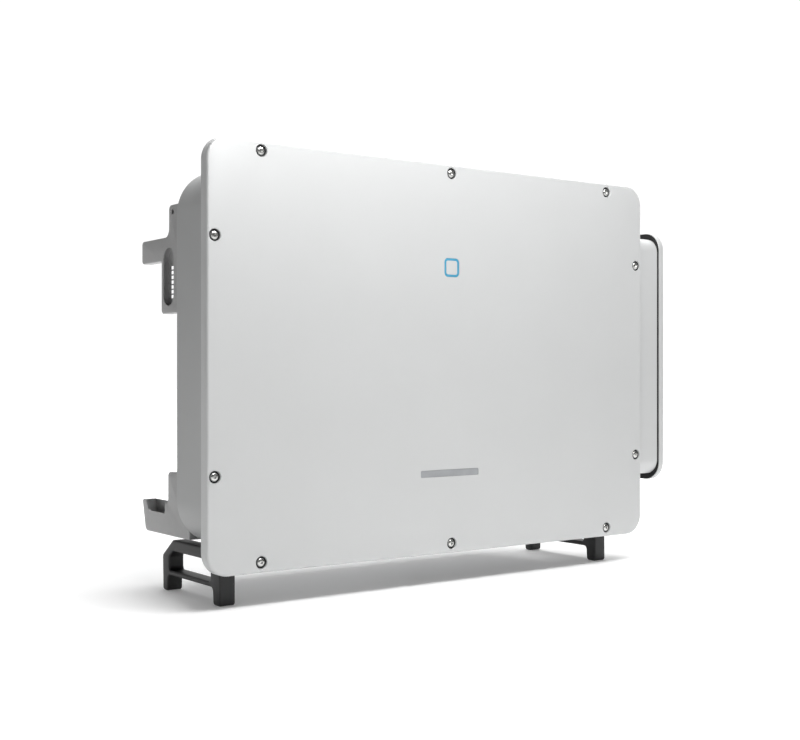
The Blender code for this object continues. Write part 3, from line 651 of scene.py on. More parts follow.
def make_cover_panel():
    """Folded front panel with its rim, screw recesses and light opening."""
    s = sizes()
    wall, back = s.cover_skin, COVER_LIP
    profile = [(wall, wall), (wall, back - 0.0006), (wall - 0.0005, back), (0.0005, back),
               (0.0, back - 0.0006)]
    profile += edge_profile(s.cover_edge, 6)
    panel = loft("front_cover_panel", [cover_ring(inset, depth, s.cover_corner) for inset, depth in profile],
                 "powder_coat_silver")
    holes = [turned(f"hole_{i}", [(0, 0.01), (s.screw_recess + 0.0009, 0.01), (s.screw_recess + 0.0009, 0.0),
                                  (s.screw_recess + 0.0002, -0.0008), (s.screw_recess, -0.0016),
                                  (s.screw_recess, -0.004), (0, -0.004)], (x, 0, z), (0, -1, 0))
             for i, (x, z) in enumerate(SCREW_PLACES)]
    half = ICON_HALF + 0.0004
    window = slab("window", [round_rect((ICON.x - half, ICON.z - half), (ICON.x + half, ICON.z + half),
                                        0.0081, 10)],
                  -0.01, 0.01, FRONT)
    low = (NAME_X - PLATE_W / 2 - 0.0003, NAME_Z - PLATE_H / 2 - 0.0003)
    high = (NAME_X + PLATE_W / 2 + 0.0003, NAME_Z + PLATE_H / 2 + 0.0003)
    pocket = slab("pocket", [round_rect(low, high, 0.0028, 6)], -0.01, 0.0008, FRONT)
    apply_cuts(panel, holes + [window, pocket])
    cups = [turned(f"cup_{i}", [(s.screw_recess + 0.0020, -0.0016), (s.screw_recess, -0.0016),
                                (s.screw_recess, -CUP_DEPTH), (0.0036, -CUP_DEPTH), (0.0036, -0.012),
                                (s.screw_recess + 0.0020, -0.012), (s.screw_recess + 0.0020, -0.0016)],
                   (x, 0, z), (0, -1, 0), "powder_coat_silver") for i, (x, z) in enumerate(SCREW_PLACES)]
    join(panel, cups)
    settle(panel, CABINET, "painted_cover", "front_cover")
    plate = slab("blank_name_plate", [round_rect((NAME_X - PLATE_W / 2, NAME_Z - PLATE_H / 2),
                                                (NAME_X + PLATE_W / 2, NAME_Z + PLATE_H / 2), 0.0025, 6)],
                 0.0002, 0.0012, FRONT, "plate_print", 0.0003, 2)
    settle(plate, CABINET, "grey_plastic")


def make_cover_screws():
    """Domed socket screws on dark sealing washers, ten alike; the washers' dark ring is also painted shadow
    for the gap round each head.
    """
    s = sizes()
    head = s.screw_head
    profile = [(0, -0.0012), (head * 0.45, -0.0013), (head * 0.78, -0.0018), (head * 0.95, -0.0027),
               (head, -0.0036), (head, -0.0039), (0.0029, -0.0039), (0.0029, -0.022), (0.0020, -0.0229),
               (0, -0.0229)]
    screw = turned("screw_shape", [(r, h + 0.0006) if h > -0.02 else (r, h) for r, h in profile],
                   (0, 0, 0), (0, -1, 0), sides=32)
    socket = slab("socket", [circle(0, 0, 0.0030, 6)], -0.01, 0.0030, FRONT)
    apply_cuts(screw, [socket])
    places = [(x, 0, z) for x, z in SCREW_PLACES]
    screws = repeat_at("cover_screws", screw, places, "stainless_steel")
    settle(screws, CABINET, "stainless_steel", *SCREW_NODES)
    # Dark sealing washer in each recess: a real seal, and its dark ring is also painted shadow for the gap
    # round the screw head.
    washer = turned("washer_shape", [(s.screw_recess - 0.0002, -0.0034), (head + 0.0004, -0.0034),
                                     (head + 0.0004, -0.0039), (s.screw_recess - 0.0002, -0.0039),
                                     (s.screw_recess - 0.0002, -0.0034)], (0, 0, 0), (0, -1, 0), sides=36)
    washers = repeat_at("screw_seal_washers", washer, places, "foam_seal")
    settle(washers, CABINET, "seal_rubber")


def make_status_light():
    """Light guide ring with its plain window inside."""
    s = sizes()
    low, high = (ICON.x - ICON_HALF, ICON.z - ICON_HALF), (ICON.x + ICON_HALF, ICON.z + ICON_HALF)
    line = s.light_line
    inner_low, inner_high = (low[0] + line, low[1] + line), (high[0] - line, high[1] - line)
    ring = slab("status_light_ring", [round_rect(low, high, 0.0077, 10),
                                      round_rect(inner_low, inner_high, 0.0045, 10)],
                0.0003, 0.0050, FRONT, "lit_acrylic", 0.0003, 2)
    settle(ring, CABINET, "light_guide", "status_light_guide")
    island = slab("status_window", [round_rect((inner_low[0] + 0.0002, inner_low[1] + 0.0002),
                                               (inner_high[0] - 0.0002, inner_high[1] - 0.0002), 0.0043, 10)],
                  0.0001, 0.0045, FRONT, "powder_coat_silver", 0.0003, 2)
    settle(island, CABINET, "painted_cover", "status_window_plate")


# ---- cabinet behind the cover ------------------------------------------------------------
SHELL_LOW, SHELL_HIGH = local_box("chassis_shell")
DUCT_LOW, DUCT_HIGH = local_box("duct_cover")
BOX_LOW, BOX_HIGH = local_box("ac_box")
CAB_HALF_W = BOX_LOW.x - 0.0003
CAB_BACK = SHELL_HIGH.y
CAB_HALF_H = -local_box("foot_left")[1].z - 0.0003


def cabinet_ring(grow, depth, corner, steps=20):
    """The cabinet's outline, grown or shrunk, at one depth."""
    outline = round_rect((-CAB_HALF_W - grow, -CAB_HALF_H - grow), (CAB_HALF_W + grow, CAB_HALF_H + grow),
                         corner + grow, steps)
    return [(x, depth, z) for x, z in outline]


def flange_ring(inset, depth):
    """The cabinet flange's outline at one depth."""
    half_w, half_h = SHELL_HIGH.x - inset, SHELL_HIGH.z - inset
    outline = round_rect((-half_w, -half_h), (half_w, half_h), 0.034 - inset, 20)
    return [(x, depth, z) for x, z in outline]


def make_cabinet_shell():
    """Flange behind the cover, a rolled neck, deep-drawn sides and a rounded rear edge."""
    s = sizes()
    front, sheet = SHELL_LOW.y, 0.003
    corner, edge = s.cabinet_corner, s.cabinet_edge
    rings = [cabinet_ring(-0.022, front + sheet, corner), cabinet_ring(-0.022, front, corner),
             flange_ring(0.0004, front), flange_ring(0, front + 0.0005), flange_ring(0, front + sheet),
             flange_ring(0.0004, front + sheet + 0.0004)]
    rings += [cabinet_ring(0.004, front + 0.004, corner), cabinet_ring(0.0012, front + 0.0052, corner),
              cabinet_ring(0, front + 0.008, corner)]
    for i in range(7):
        turn = math.pi / 2 * i / 6
        rings.append(cabinet_ring(-edge * (1 - math.cos(turn)), CAB_BACK - edge * (1 - math.sin(turn)),
                                  corner))
    # The cabinet's darker grey is partly painted shade for its sides.
    shell = loft("cabinet_shell", rings, "powder_coat_grey_painted_shade", closed=False)
    window = slab("rear_wall", [[(x, z) for x, _, z in cabinet_ring(-edge, 0, corner)],
                                round_rect((-0.350, -0.260), (0.350, 0.260), 0.010, 4)],
                  CAB_BACK - sheet, CAB_BACK, FRONT, "powder_coat_grey_painted_shade")
    join(shell, [window])
    settle(shell, CABINET, "painted_cabinet", "chassis_shell")
    dress("cover_gasket", "foam_seal")


# ---- cast mounting ears ---------------------------------------------------------------------
EAR_SIDES = (("left", -1), ("right", 1))
SLOT_DEPTH = 0.0105


def ear_span(node, side, inner, outer):
    """Start and end along X of a layer, measured inwards from the ear's outer face."""
    low, high = local_box(node)
    face = low.x if side < 0 else high.x
    ends = (face - side * inner, face - side * outer)
    return min(ends), max(ends)


def make_upper_ear(side_name, side):
    """Strip with a fork arm, a deep finger slot and a comb of small windows in its floor."""
    node = f"upper_ear_{side_name}"
    edge = sizes().cast_edge
    low, high = local_box(node)
    thick = high.x - low.x
    front, back = low.y, high.y
    outline = rounded([(front, 0.081, 0.002), (0.277, 0.081, 0.008), (0.277, 0.178, 0.005),
                       (back, 0.178, 0.007), (back, 0.221, 0.007), (0.246, 0.221, 0.016),
                       (0.246, 0.278, 0.009), (front, 0.278, 0.002)], 8)
    ear = slab(f"{node}_casting", [outline], *ear_span(node, side, 0, thick), SIDE, "blasted_casting", edge,
               3)
    slot = round_rect((0.2262, 0.0952), (0.2678, 0.2008), 0.0206, 14)
    relief = round_rect((0.2282, 0.0982), (0.2732, 0.1978), 0.0184, 14)
    web = round_rect((0.180, 0.087), (0.217, 0.213), 0.004, 4)
    arm = round_rect((0.283, 0.185), (0.352, 0.214), 0.003, 4)
    hollow = ear_span(node, side, 0.005, thick + 0.01)
    tools = [slab("slot", [slot], *ear_span(node, side, -0.01, SLOT_DEPTH), SIDE),
             slab("relief", [relief], *ear_span(node, side, SLOT_DEPTH + 0.003, thick + 0.01), SIDE),
             slab("web", [web], *hollow, SIDE), slab("arm", [arm], *hollow, SIDE),
             slab("bolt", [circle(0.230, 0.265, 0.0048, 28)], *ear_span(node, side, -0.01, thick + 0.01),
                  SIDE)]
    for k in range(7):
        z = 0.1127 + 0.0088 * k
        tools.append(slab(f"window_{k}", [round_rect((0.241, z - 0.0033), (0.262, z + 0.0033), 0.0008, 3)],
                          *ear_span(node, side, SLOT_DEPTH - 0.002, thick + 0.01), SIDE))
    apply_cuts(ear, tools)
    lip_outer = round_rect((0.2254, 0.0944), (0.2686, 0.2016), 0.0214, 14)
    lip = slab(f"{node}_lip", [lip_outer, slot], *ear_span(node, side, 0.0004, 0.006), SIDE,
               "blasted_casting",
               0.00038, 1)
    join(ear, [lip])
    settle(ear, CABINET, "cast_aluminium", node)


def make_lower_ear(side_name, side):
    """Strip with an open hook cup that drops on to a wall bracket's stud."""
    node = f"lower_ear_{side_name}"
    edge = sizes().cast_edge
    low, high = local_box(node)
    thick = high.x - low.x
    front, back = low.y, high.y
    outline = rounded([(front, -0.324, 0.002), (0.345, -0.324, 0.010), (back, -0.266, 0.004),
                       (0.250, -0.266, 0.006), (0.250, -0.208, 0.007), (front, -0.208, 0.002)], 8)
    ear = slab(f"{node}_casting", [outline], *ear_span(node, side, 0, thick), SIDE, "blasted_casting", edge,
               3)
    cup = rounded([(0.262, -0.250, 0), (0.262, -0.310, 0.006), (0.330, -0.310, 0.006), (0.354, -0.250, 0)], 5)
    notch = rounded([(0.262, -0.250, 0), (0.262, -0.286, 0.006), (0.332, -0.286, 0.006),
                     (0.352, -0.250, 0)], 5)
    web = round_rect((0.180, -0.316), (0.238, -0.216), 0.004, 4)
    apply_cuts(ear, [slab("cup", [cup], *ear_span(node, side, 0.004, 0.022), SIDE),
                     slab("notch", [notch], *ear_span(node, side, -0.01, 0.006), SIDE),
                     slab("web", [web], *ear_span(node, side, 0.005, 0.04), SIDE)])
    settle(ear, CABINET, "cast_aluminium", node)


# ---- feet that are also carrying handles -------------------------------------------------------
def make_foot(side_name):
    """Glass-filled moulding: two legs, a carrying bar and a window, with generous corner rounding."""
    node = f"foot_{side_name}"
    low, high = local_box(node)
    top, bottom = high.z, low.z
    outline = rounded([(0.054, top, 0.004), (0.054, bottom, 0.006), (0.080, bottom, 0.006),
                       (0.082, -0.397, 0.008), (0.255, -0.397, 0.008), (0.255, bottom, 0.006),
                       (0.276, bottom, 0.006), (0.278, -0.362, 0.009), (0.236, top, 0.006)], 6)
    window = rounded([(0.090, -0.388, 0.007), (0.250, -0.388, 0.007), (0.250, -0.362, 0.008),
                      (0.236, -0.352, 0.007), (0.090, -0.352, 0.007)], 6)
    foot = slab(f"{node}_moulding", [outline, window], low.x, high.x, SIDE, "black_nylon",
                sizes().foot_edge, 4)
    settle(foot, CABINET, "black_plastic", node)


# ---- wiring box and door -------------------------------------------------------------------------
GASKET_LOW, GASKET_HIGH = local_box("ac_box_gasket")
DOOR_LOW, DOOR_HIGH = local_box("ac_box_door")
DOOR_BODY = "ac_door"
HINGE_JOINT = next(joint for joint in frame["joints"] if joint["name"] == "ac_door_hinge")
HINGE = Vector(HINGE_JOINT["pos_m"]) - CENTRE


def door_ring(inset, x, steps=16):
    """The door's outline, pulled in, at one place along X."""
    corner = sizes().box_corner
    outline = round_rect((DOOR_LOW.y + inset, DOOR_LOW.z + inset), (BOX_HIGH.y - inset, DOOR_HIGH.z - inset),
                         corner - inset, steps)
    return [(x, d, z) for d, z in outline]


def box_ring(inset, x, steps=16):
    """The wiring box body's outline, pulled in, at one place along X."""
    corner = sizes().box_corner - 0.008
    outline = round_rect((BOX_LOW.y + inset, BOX_LOW.z + inset), (BOX_HIGH.y - inset, BOX_HIGH.z - inset),
                         corner - inset, steps)
    return [(x, d, z) for d, z in outline]


def make_wiring_box():
    """Deep-drawn box on the cabinet's side, open towards its door, with a rolled rim."""
    start, rim, sheet = BOX_LOW.x, BOX_HIGH.x, 0.003
    rings = [box_ring(sheet, start + sheet), box_ring(sheet, rim - 0.0008), box_ring(sheet - 0.0008, rim),
             box_ring(0.0008, rim), box_ring(0, rim - 0.0008), box_ring(0, start + 0.003),
             box_ring(0.0008, start + 0.0004), box_ring(0.003, start)]
    box = loft("wiring_box_shell", rings, "powder_coat_silver")
    settle(box, CABINET, "painted_cover", "ac_box")
    near, far = GASKET_LOW.x, GASKET_HIGH.x
    gasket_rings = [box_ring(0.0080, near), door_ring(0.0014, near), door_ring(0.0012, near + 0.0010),
                    door_ring(0.0022, (near + far) / 2), door_ring(0.0012, far - 0.0010),
                    door_ring(0.0014, far),
                    box_ring(0.0080, far), box_ring(0.0080, near)]
    seal = loft("wiring_box_seal", gasket_rings, "foam_seal", closed=False)
    settle(seal, CABINET, "seal_rubber", "ac_box_gasket")
    for node in ("door_hinge_upper", "door_hinge_lower"):
        dress(node, "stainless_steel")


def make_wiring_door():
    """Shallow pressed door with a rolled edge, two captive screws and two hinge knuckles."""
    inner, face, edge = DOOR_LOW.x, DOOR_HIGH.x, 0.0040
    rings = [box_ring(0.0110, face - 0.003), box_ring(0.0110, inner + 0.0006), box_ring(0.0104, inner),
             door_ring(0.0008, inner), door_ring(0, inner + 0.0008)]
    rings += [door_ring(inset, face - depth) for inset, depth in edge_profile(edge, 6)]
    door = loft("wiring_door_panel", rings, "powder_coat_silver")
    tools = []
    for node in ("door_screw_upper", "door_screw_lower"):
        place = middle(node)
        tools.append(turned("recess", [(0, 0.01), (0.0070, 0.01), (0.0070, 0), (0.0064, -0.0010),
                                       (0.0064, -0.0042), (0, -0.0042)], (face, place.y, place.z), (1, 0, 0)))
    apply_cuts(door, tools)
    knuckles = []
    for node in ("door_hinge_upper", "door_hinge_lower"):
        high = local_box(node)[1]
        z0, z1 = high.z - 0.0340 + 0.0003, high.z + 0.0020
        centre = (z0 + z1) / 2
        knuckles.append(turned("knuckle", [(0.0028, 0.0178), (0.0052, 0.0178), (0.0056, 0.0172),
                                           (0.0056, -0.0172), (0.0052, -0.0178), (0.0028, -0.0178),
                                           (0.0028, 0.0178)], (HINGE.x, HINGE.y, centre), (0, 0, 1),
                               "powder_coat_silver", 32))
        knuckles.append(block("tab", (HINGE.x - 0.0025, BOX_HIGH.y - 0.006, centre - 0.0178),
                              (HINGE.x + 0.0025, HINGE.y - 0.0032, centre + 0.0178), "powder_coat_silver",
                              0.0006))
    join(door, knuckles)
    settle(door, DOOR_BODY, "painted_cover", "ac_box_door")
    screws = []
    for node in ("door_screw_upper", "door_screw_lower"):
        place = middle(node)
        head = turned("head", [(0, -0.0009), (0.0030, -0.0011), (0.0046, -0.0019), (0.0052, -0.0034),
                               (0.0050, -0.0040), (0.0020, -0.0040), (0.0020, -0.0122), (0, -0.0122)],
                      (face, place.y, place.z), (1, 0, 0), "stainless_steel", 32)
        socket = slab("socket", [circle(place.y, place.z, 0.0021, 6)], face - 0.0026, face + 0.01, SIDE)
        screws.append(apply_cuts(head, [socket]))
    screws[0].name = "door_captive_screws"
    pair = join(screws[0], screws[1:])
    pair.name = "door_captive_screws"
    settle(pair, DOOR_BODY, "stainless_steel", "door_screw_upper", "door_screw_lower")


# ---- heat sink and air duct -----------------------------------------------------------------------
SINK_LOW, SINK_HIGH = local_box("heat_sink")
FIN_COUNT, FIN_PITCH, FIN_ROOT = 45, 0.016, 0.0127
SHEET = 0.0015


def make_heat_sink():
    """Extruded base plate and one fin repeated across it, its edges broken."""
    half = sizes().fin_thickness / 2
    root = SINK_LOW.y + FIN_ROOT
    sink = block("finned_heat_sink", SINK_LOW, (SINK_HIGH.x, root, SINK_HIGH.z), "extruded_aluminium", 0.0006)
    fin = block("fin_shape", (-half, root - 0.001, SINK_LOW.z), (half, SINK_HIGH.y, SINK_HIGH.z),
                edge=half * 0.5)
    first = -FIN_PITCH * (FIN_COUNT - 1) / 2
    places = [(first + FIN_PITCH * i, 0, 0) for i in range(FIN_COUNT)]
    join(sink, [repeat_at("fins", fin, places, "extruded_aluminium")])
    settle(sink, CABINET, "fin_aluminium", "heat_sink")


def duct_inside(margin, steps=6):
    """The duct's inner outline in x and d, pulled in by a margin."""
    side, front, back = DUCT_HIGH.x - SHEET - margin, DUCT_LOW.y + margin, DUCT_HIGH.y - SHEET - margin
    return rounded([(-side, front, 0), (-side, back, 0.0105), (side, back, 0.0105), (side, front, 0)], steps)


def pan_head(name, radius, height, axis):
    """A pan-head screw's head with a cross recess, standing on the cabinet's centre."""
    head = turned(name, [(0, height), (radius * 0.45, height), (radius * 0.82, height * 0.80),
                         (radius, height * 0.35), (radius, -0.0002), (0, -0.0002)], (0, 0, 0), axis, sides=20)
    along = Vector(axis) * height
    cross = Vector((0, 0, 1)) if abs(axis[2]) < 0.5 else Vector((1, 0, 0))
    other = cross.cross(Vector(axis))
    tools = []
    for arm, thin in ((cross, other), (other, cross)):
        reach = Vector([abs(c) for c in
                        arm * radius * 0.55 + thin * radius * 0.12 + Vector(axis) * height * 0.45])
        tools.append(block("cross", along - reach, along + reach))
    return apply_cuts(head, tools)


def make_duct():
    """Folded zinc sheet channel with stiffening beads, hemmed ends and a row of screws down each side."""
    side, front, back = DUCT_HIGH.x, DUCT_LOW.y, DUCT_HIGH.y
    outline = rounded([(-side, front, 0), (-side, back, 0.012), (side, back, 0.012), (side, front, 0),
                       (side - SHEET, front, 0), (side - SHEET, back - SHEET, 0.0105),
                       (-side + SHEET, back - SHEET, 0.0105), (-side + SHEET, front, 0)], 6)
    duct = slab("folded_duct", [outline], DUCT_LOW.z, DUCT_HIGH.z, FLOOR, "zinc_sheet", 0.0003, 1)
    beads = [slab("bead", [round_rect((-0.330, z - 0.007), (0.330, z + 0.007), 0.0068, 8)],
                  back - 0.0004, back + 0.0024, FRONT, "zinc_sheet", 0.0012, 3)
             for z in (-0.200, -0.100, 0.0, 0.100, 0.200)]
    rows = []
    for sign in (-1, 1):
        places = [(sign * side, front + 0.012, -0.270 + 0.090 * i) for i in range(7)]
        head = pan_head("duct_screw", 0.0045, 0.0022, (sign, 0, 0))
        rows.append(repeat_at(f"duct_screws_{sign}", head, places, "stainless_steel"))
    join(duct, beads + rows)
    settle(duct, CABINET, "galvanised_sheet", "duct_cover")


def make_outlet_grille():
    """Punched sheet at the top of the duct, thirty slots with round ends."""
    low, high = local_box("outlet_grille")
    slots = [round_rect((-0.374 + 0.152 * column, 0.178 + 0.028 * row),
                        (-0.234 + 0.152 * column, 0.198 + 0.028 * row), 0.0095, 6)
             for column in range(5) for row in range(6)]
    grille = slab("punched_outlet_grille", [duct_inside(0.0005)] + slots, low.z, high.z, FLOOR, "zinc_sheet",
                  0.0003, 1)
    settle(grille, CABINET, "galvanised_sheet", "outlet_grille")


# ---- fans -------------------------------------------------------------------------------------------
ROTOR_NODES = [f"fan_rotor_{i}" for i in range(1, 6)]
ROTOR_PLACES = [Vector((middle(node).x, middle(node).y, 0)) for node in ROTOR_NODES]
ROTOR_LOW, ROTOR_HIGH = local_box("fan_rotor_1")
ROTOR_R = (ROTOR_HIGH.x - ROTOR_LOW.x) / 2
HUB_R, BLADES = 0.023, 7


def wire_ring(radius, wire, z):
    """A closed ring of round wire, lying flat."""
    section = [(radius + wire * math.cos(math.radians(45 * k)), wire * math.sin(math.radians(45 * k)))
               for k in range(9)]
    return turned("ring", section, (0, 0, z), (0, 0, 1), sides=48)


def make_fan_guards():
    """Inlet sheet with five round mouths, each behind a welded wire finger guard."""
    low, high = local_box("inlet_guard")
    wire = sizes().wire / 2
    mouths = [circle(place.x, place.y, 0.0605, 48) for place in ROTOR_PLACES]
    sheet = slab("fan_inlet_sheet", [duct_inside(0.0005)] + mouths, low.z, high.z, FLOOR, "zinc_sheet",
                 0.0003, 1)
    level = (low.z + high.z) / 2
    rings = [wire_ring(0.0115 + 0.0098 * k, wire, level) for k in range(5)]
    for axis in ((1, 0, 0), (0, 1, 0)):
        rings.append(turned("spoke", [(0, -0.0612), (wire, -0.0612), (wire, 0.0612), (0, 0.0612)],
                            (0, 0, level), axis, sides=10))
    guard = join(rings[0], rings[1:])
    join(sheet, [repeat_at("finger_guards", guard, ROTOR_PLACES, "zinc_wire")])
    settle(sheet, CABINET, "galvanised_sheet", "inlet_guard")


def make_fan_tray():
    """One moulded tray: five bores, each with a motor plate on four arms, and four screws a fan."""
    low, high = local_box("fan_tray")
    bores = [circle(place.x, place.y, 0.0640, 48) for place in ROTOR_PLACES]
    tray = slab("moulded_fan_tray", [duct_inside(0.0010)] + bores, low.z, high.z, FLOOR, "black_pbt",
                0.0010, 2)
    spider = turned("motor_plate",
                    [(0, 0), (0.0250, 0), (0.0260, -0.0008), (0.0260, -0.0034), (0.0250, -0.0040),
                                    (0, -0.0040)], (0, 0, high.z), (0, 0, 1), sides=40)
    arms = [block("arm", (-0.0655, -0.0028, high.z - 0.0036), (0.0655, 0.0028, high.z - 0.0002), edge=0.0006),
            block("arm", (-0.0028, -0.0655, high.z - 0.0036), (0.0028, 0.0655, high.z - 0.0002), edge=0.0006)]
    motors = repeat_at("motor_plates", join(spider, arms), ROTOR_PLACES, "black_pbt")
    corners = [place + Vector((0.0585 * a, 0.0585 * b, low.z)) for place in ROTOR_PLACES
               for a in (-1, 1) for b in (-1, 1)]
    heads = repeat_at("fan_screws", pan_head("fan_screw", 0.0036, 0.0012, (0, 0, -1)), corners,
                      "stainless_steel")
    join(tray, [motors, heads])
    settle(tray, CABINET, "black_plastic", "fan_tray")


def blade_section(radius, angle):
    """A cambered airfoil section at one radius, as points round it."""
    part = (radius - HUB_R) / (ROTOR_R - HUB_R)
    chord, pitch = 0.0245 + 0.0040 * part, math.radians(42 - 12 * part)
    middle_z = (ROTOR_LOW.z + ROTOR_HIGH.z) / 2
    points = []
    for k in range(14):
        turn = 2 * math.pi * k / 14
        along = chord / 2 * math.cos(turn)
        across = ((0.0010 if math.sin(turn) > 0 else 0.0005) * math.sin(turn)
                  * (1.2 - 0.8 * math.cos(turn) ** 2))
        across += 0.0016 * (1 - math.cos(turn) ** 2)
        tangent = along * math.cos(pitch) - across * math.sin(pitch)
        rise = along * math.sin(pitch) + across * math.cos(pitch)
        around = math.radians(angle + 9 * part) + tangent / radius
        points.append((radius * math.cos(around), radius * math.sin(around), middle_z + rise))
    return points


def make_rotors():
    """Hub with a rounded nose and seven twisted blades, five alike, each on its own body."""
    low, high = ROTOR_LOW.z, ROTOR_HIGH.z
    hub = turned("rotor_shape", [(0, low), (0.0190, low), (0.0218, low + 0.0009), (HUB_R, low + 0.0030),
                                 (HUB_R, high - 0.0004), (0.0226, high), (0, high)], (0, 0, 0), (0, 0, 1),
                 "black_pbt", 40)
    blades = [loft("blade", [blade_section(HUB_R - 0.001 + (ROTOR_R - 0.0004 - HUB_R + 0.001) * k / 5,
                                           360 * i / BLADES)
                             for k in range(6)], "black_pbt", 50) for i in range(BLADES)]
    join(hub, blades)
    for i, (node, place) in enumerate(zip(ROTOR_NODES, ROTOR_PLACES), 1):
        mesh = hub.data.copy()
        mesh.transform(Matrix.Translation(place))
        rotor = bpy.data.objects.new(f"bladed_rotor_{i}", mesh)
        bpy.context.scene.collection.objects.link(rotor)
        settle(rotor, f"fan_{i}", "black_plastic", node)
    bpy.data.objects.remove(hub)


# ---- bottom fittings ------------------------------------------------------------------------------
UNDER = -CAB_HALF_H - 0.0003


def make_knobs():
    """Fluted rotary handles with a bar grip and an orange pointer, each over a printed dial ring."""
    for i in (1, 2, 3):
        node = f"dc_switch_knob_{i}"
        place = middle(node)
        x, d = place.x, place.y
        knob = turned(f"fluted_knob_{i}", [(0, 0.0239), (0.0050, 0.0239), (0.0054, 0.0234), (0.0054, 0),
                                           (0.0205, 0), (0.0226, -0.0012), (0.0228, -0.0085),
                                           (0.0214, -0.0108),
                                           (0.0186, -0.0119), (0, -0.0119)], (x, d, UNDER), (0, 0, 1),
                                           "black_pbt")
        flutes = [turned("flute", [(0, -0.002), (0.0013, -0.002), (0.0013, -0.02), (0, -0.02)],
                         (x + 0.0233 * math.cos(turn), d + 0.0233 * math.sin(turn), UNDER), (0, 0, 1),
                         sides=12)
                  for turn in (math.radians(20 * k) for k in range(18))]
        apply_cuts(knob, flutes)
        bar = slab("bar", [round_rect((x - 0.0044, d - 0.0184), (x + 0.0044, d + 0.0184), 0.0042, 8)],
                   UNDER - 0.0259, UNDER - 0.0105, FLOOR, "black_pbt", 0.0013, 3)
        pointer = block("pointer", (x - 0.0012, d - 0.0172, UNDER - 0.02597),
                        (x + 0.0012, d - 0.0050, UNDER - 0.0250), "orange_grip", 0.0003)
        join(knob, [bar, pointer])
        settle(knob, f"dc_switch_{i}", "black_plastic", node)
        dial = turned(f"dial_ring_{i}", [(0.0245, 0), (0.0245, -0.0012), (0.0320, -0.0012), (0.0325, -0.0007),
                                         (0.0325, 0), (0.0245, 0)], (x, d, UNDER), (0, 0, 1), "plate_print")
        settle(dial, CABINET, "grey_plastic")


def make_socket(contact):
    """One panel socket: flanged barrel with two collars, a mouth and its metal contact."""
    barrel = turned("socket_barrel", [(0, 0.0020), (0.0085, 0.0020), (0.0085, -0.0080), (0.0092, -0.0086),
                                      (0.0092, -0.0112), (0.0085, -0.0118), (0.0080, -0.0180),
                                      (0.0086, -0.0186),
                                      (0.0086, -0.0206), (0.0079, -0.0212), (0.0076, -0.0336),
                                      (0.0072, -0.0340),
                                      (0.0048, -0.0340), (0.0044, -0.0336), (0.0044, -0.0160), (0, -0.0160)],
                    (0, 0, UNDER), (0, 0, 1), sides=28)
    latches = [block("latch", (-0.0098, -0.0014, UNDER - 0.0290), (-0.0066, 0.0014, UNDER - 0.0230),
                     edge=0.0003),
               block("latch", (0.0066, -0.0014, UNDER - 0.0290), (0.0098, 0.0014, UNDER - 0.0230),
                     edge=0.0003)]
    pin = turned("contact", [(0, -0.0150), (contact, -0.0150), (contact, -0.0300), (contact * 0.6, -0.0315),
                             (0, -0.0315)], (0, 0, UNDER), (0, 0, 1), sides=16)
    return join(barrel, latches), pin


def make_connectors():
    """Two rows of twelve panel sockets on common flanges; the front row has pins, the rear row sleeves."""
    for row, contact in (("front", 0.0018), ("rear", 0.0030)):
        node = f"dc_connector_strip_{row}"
        low, high = local_box(node)
        d = (low.y + high.y) / 2
        strip = slab(f"socket_strip_{row}", [round_rect((low.x, low.y), (high.x, high.y), 0.006, 6)],
                     UNDER - 0.0030, UNDER, FLOOR, "black_nylon", 0.0006, 2)
        shell = block("shell", (low.x + 0.013, d - 0.009, UNDER - 0.001), (high.x - 0.013, d + 0.009, high.z),
                      "black_nylon", 0.0010)
        places = [(low.x + 0.020 + 0.033 * k, d, 0) for k in range(12)]
        barrel, pin = make_socket(contact)
        sockets = repeat_at(f"sockets_{row}", barrel, places, "black_nylon")
        pins = repeat_at(f"contacts_{row}", pin, places, "tinned_brass")
        heads = [(low.x + 0.006, d, UNDER - 0.003), (high.x - 0.006, d, UNDER - 0.003)]
        screws = repeat_at(f"strip_screws_{row}", pan_head("strip_screw", 0.0036, 0.0018, (0, 0, -1)), heads,
                           "stainless_steel")
        join(strip, [shell, sockets, pins, screws])
        settle(strip, CABINET, "black_plastic", node)


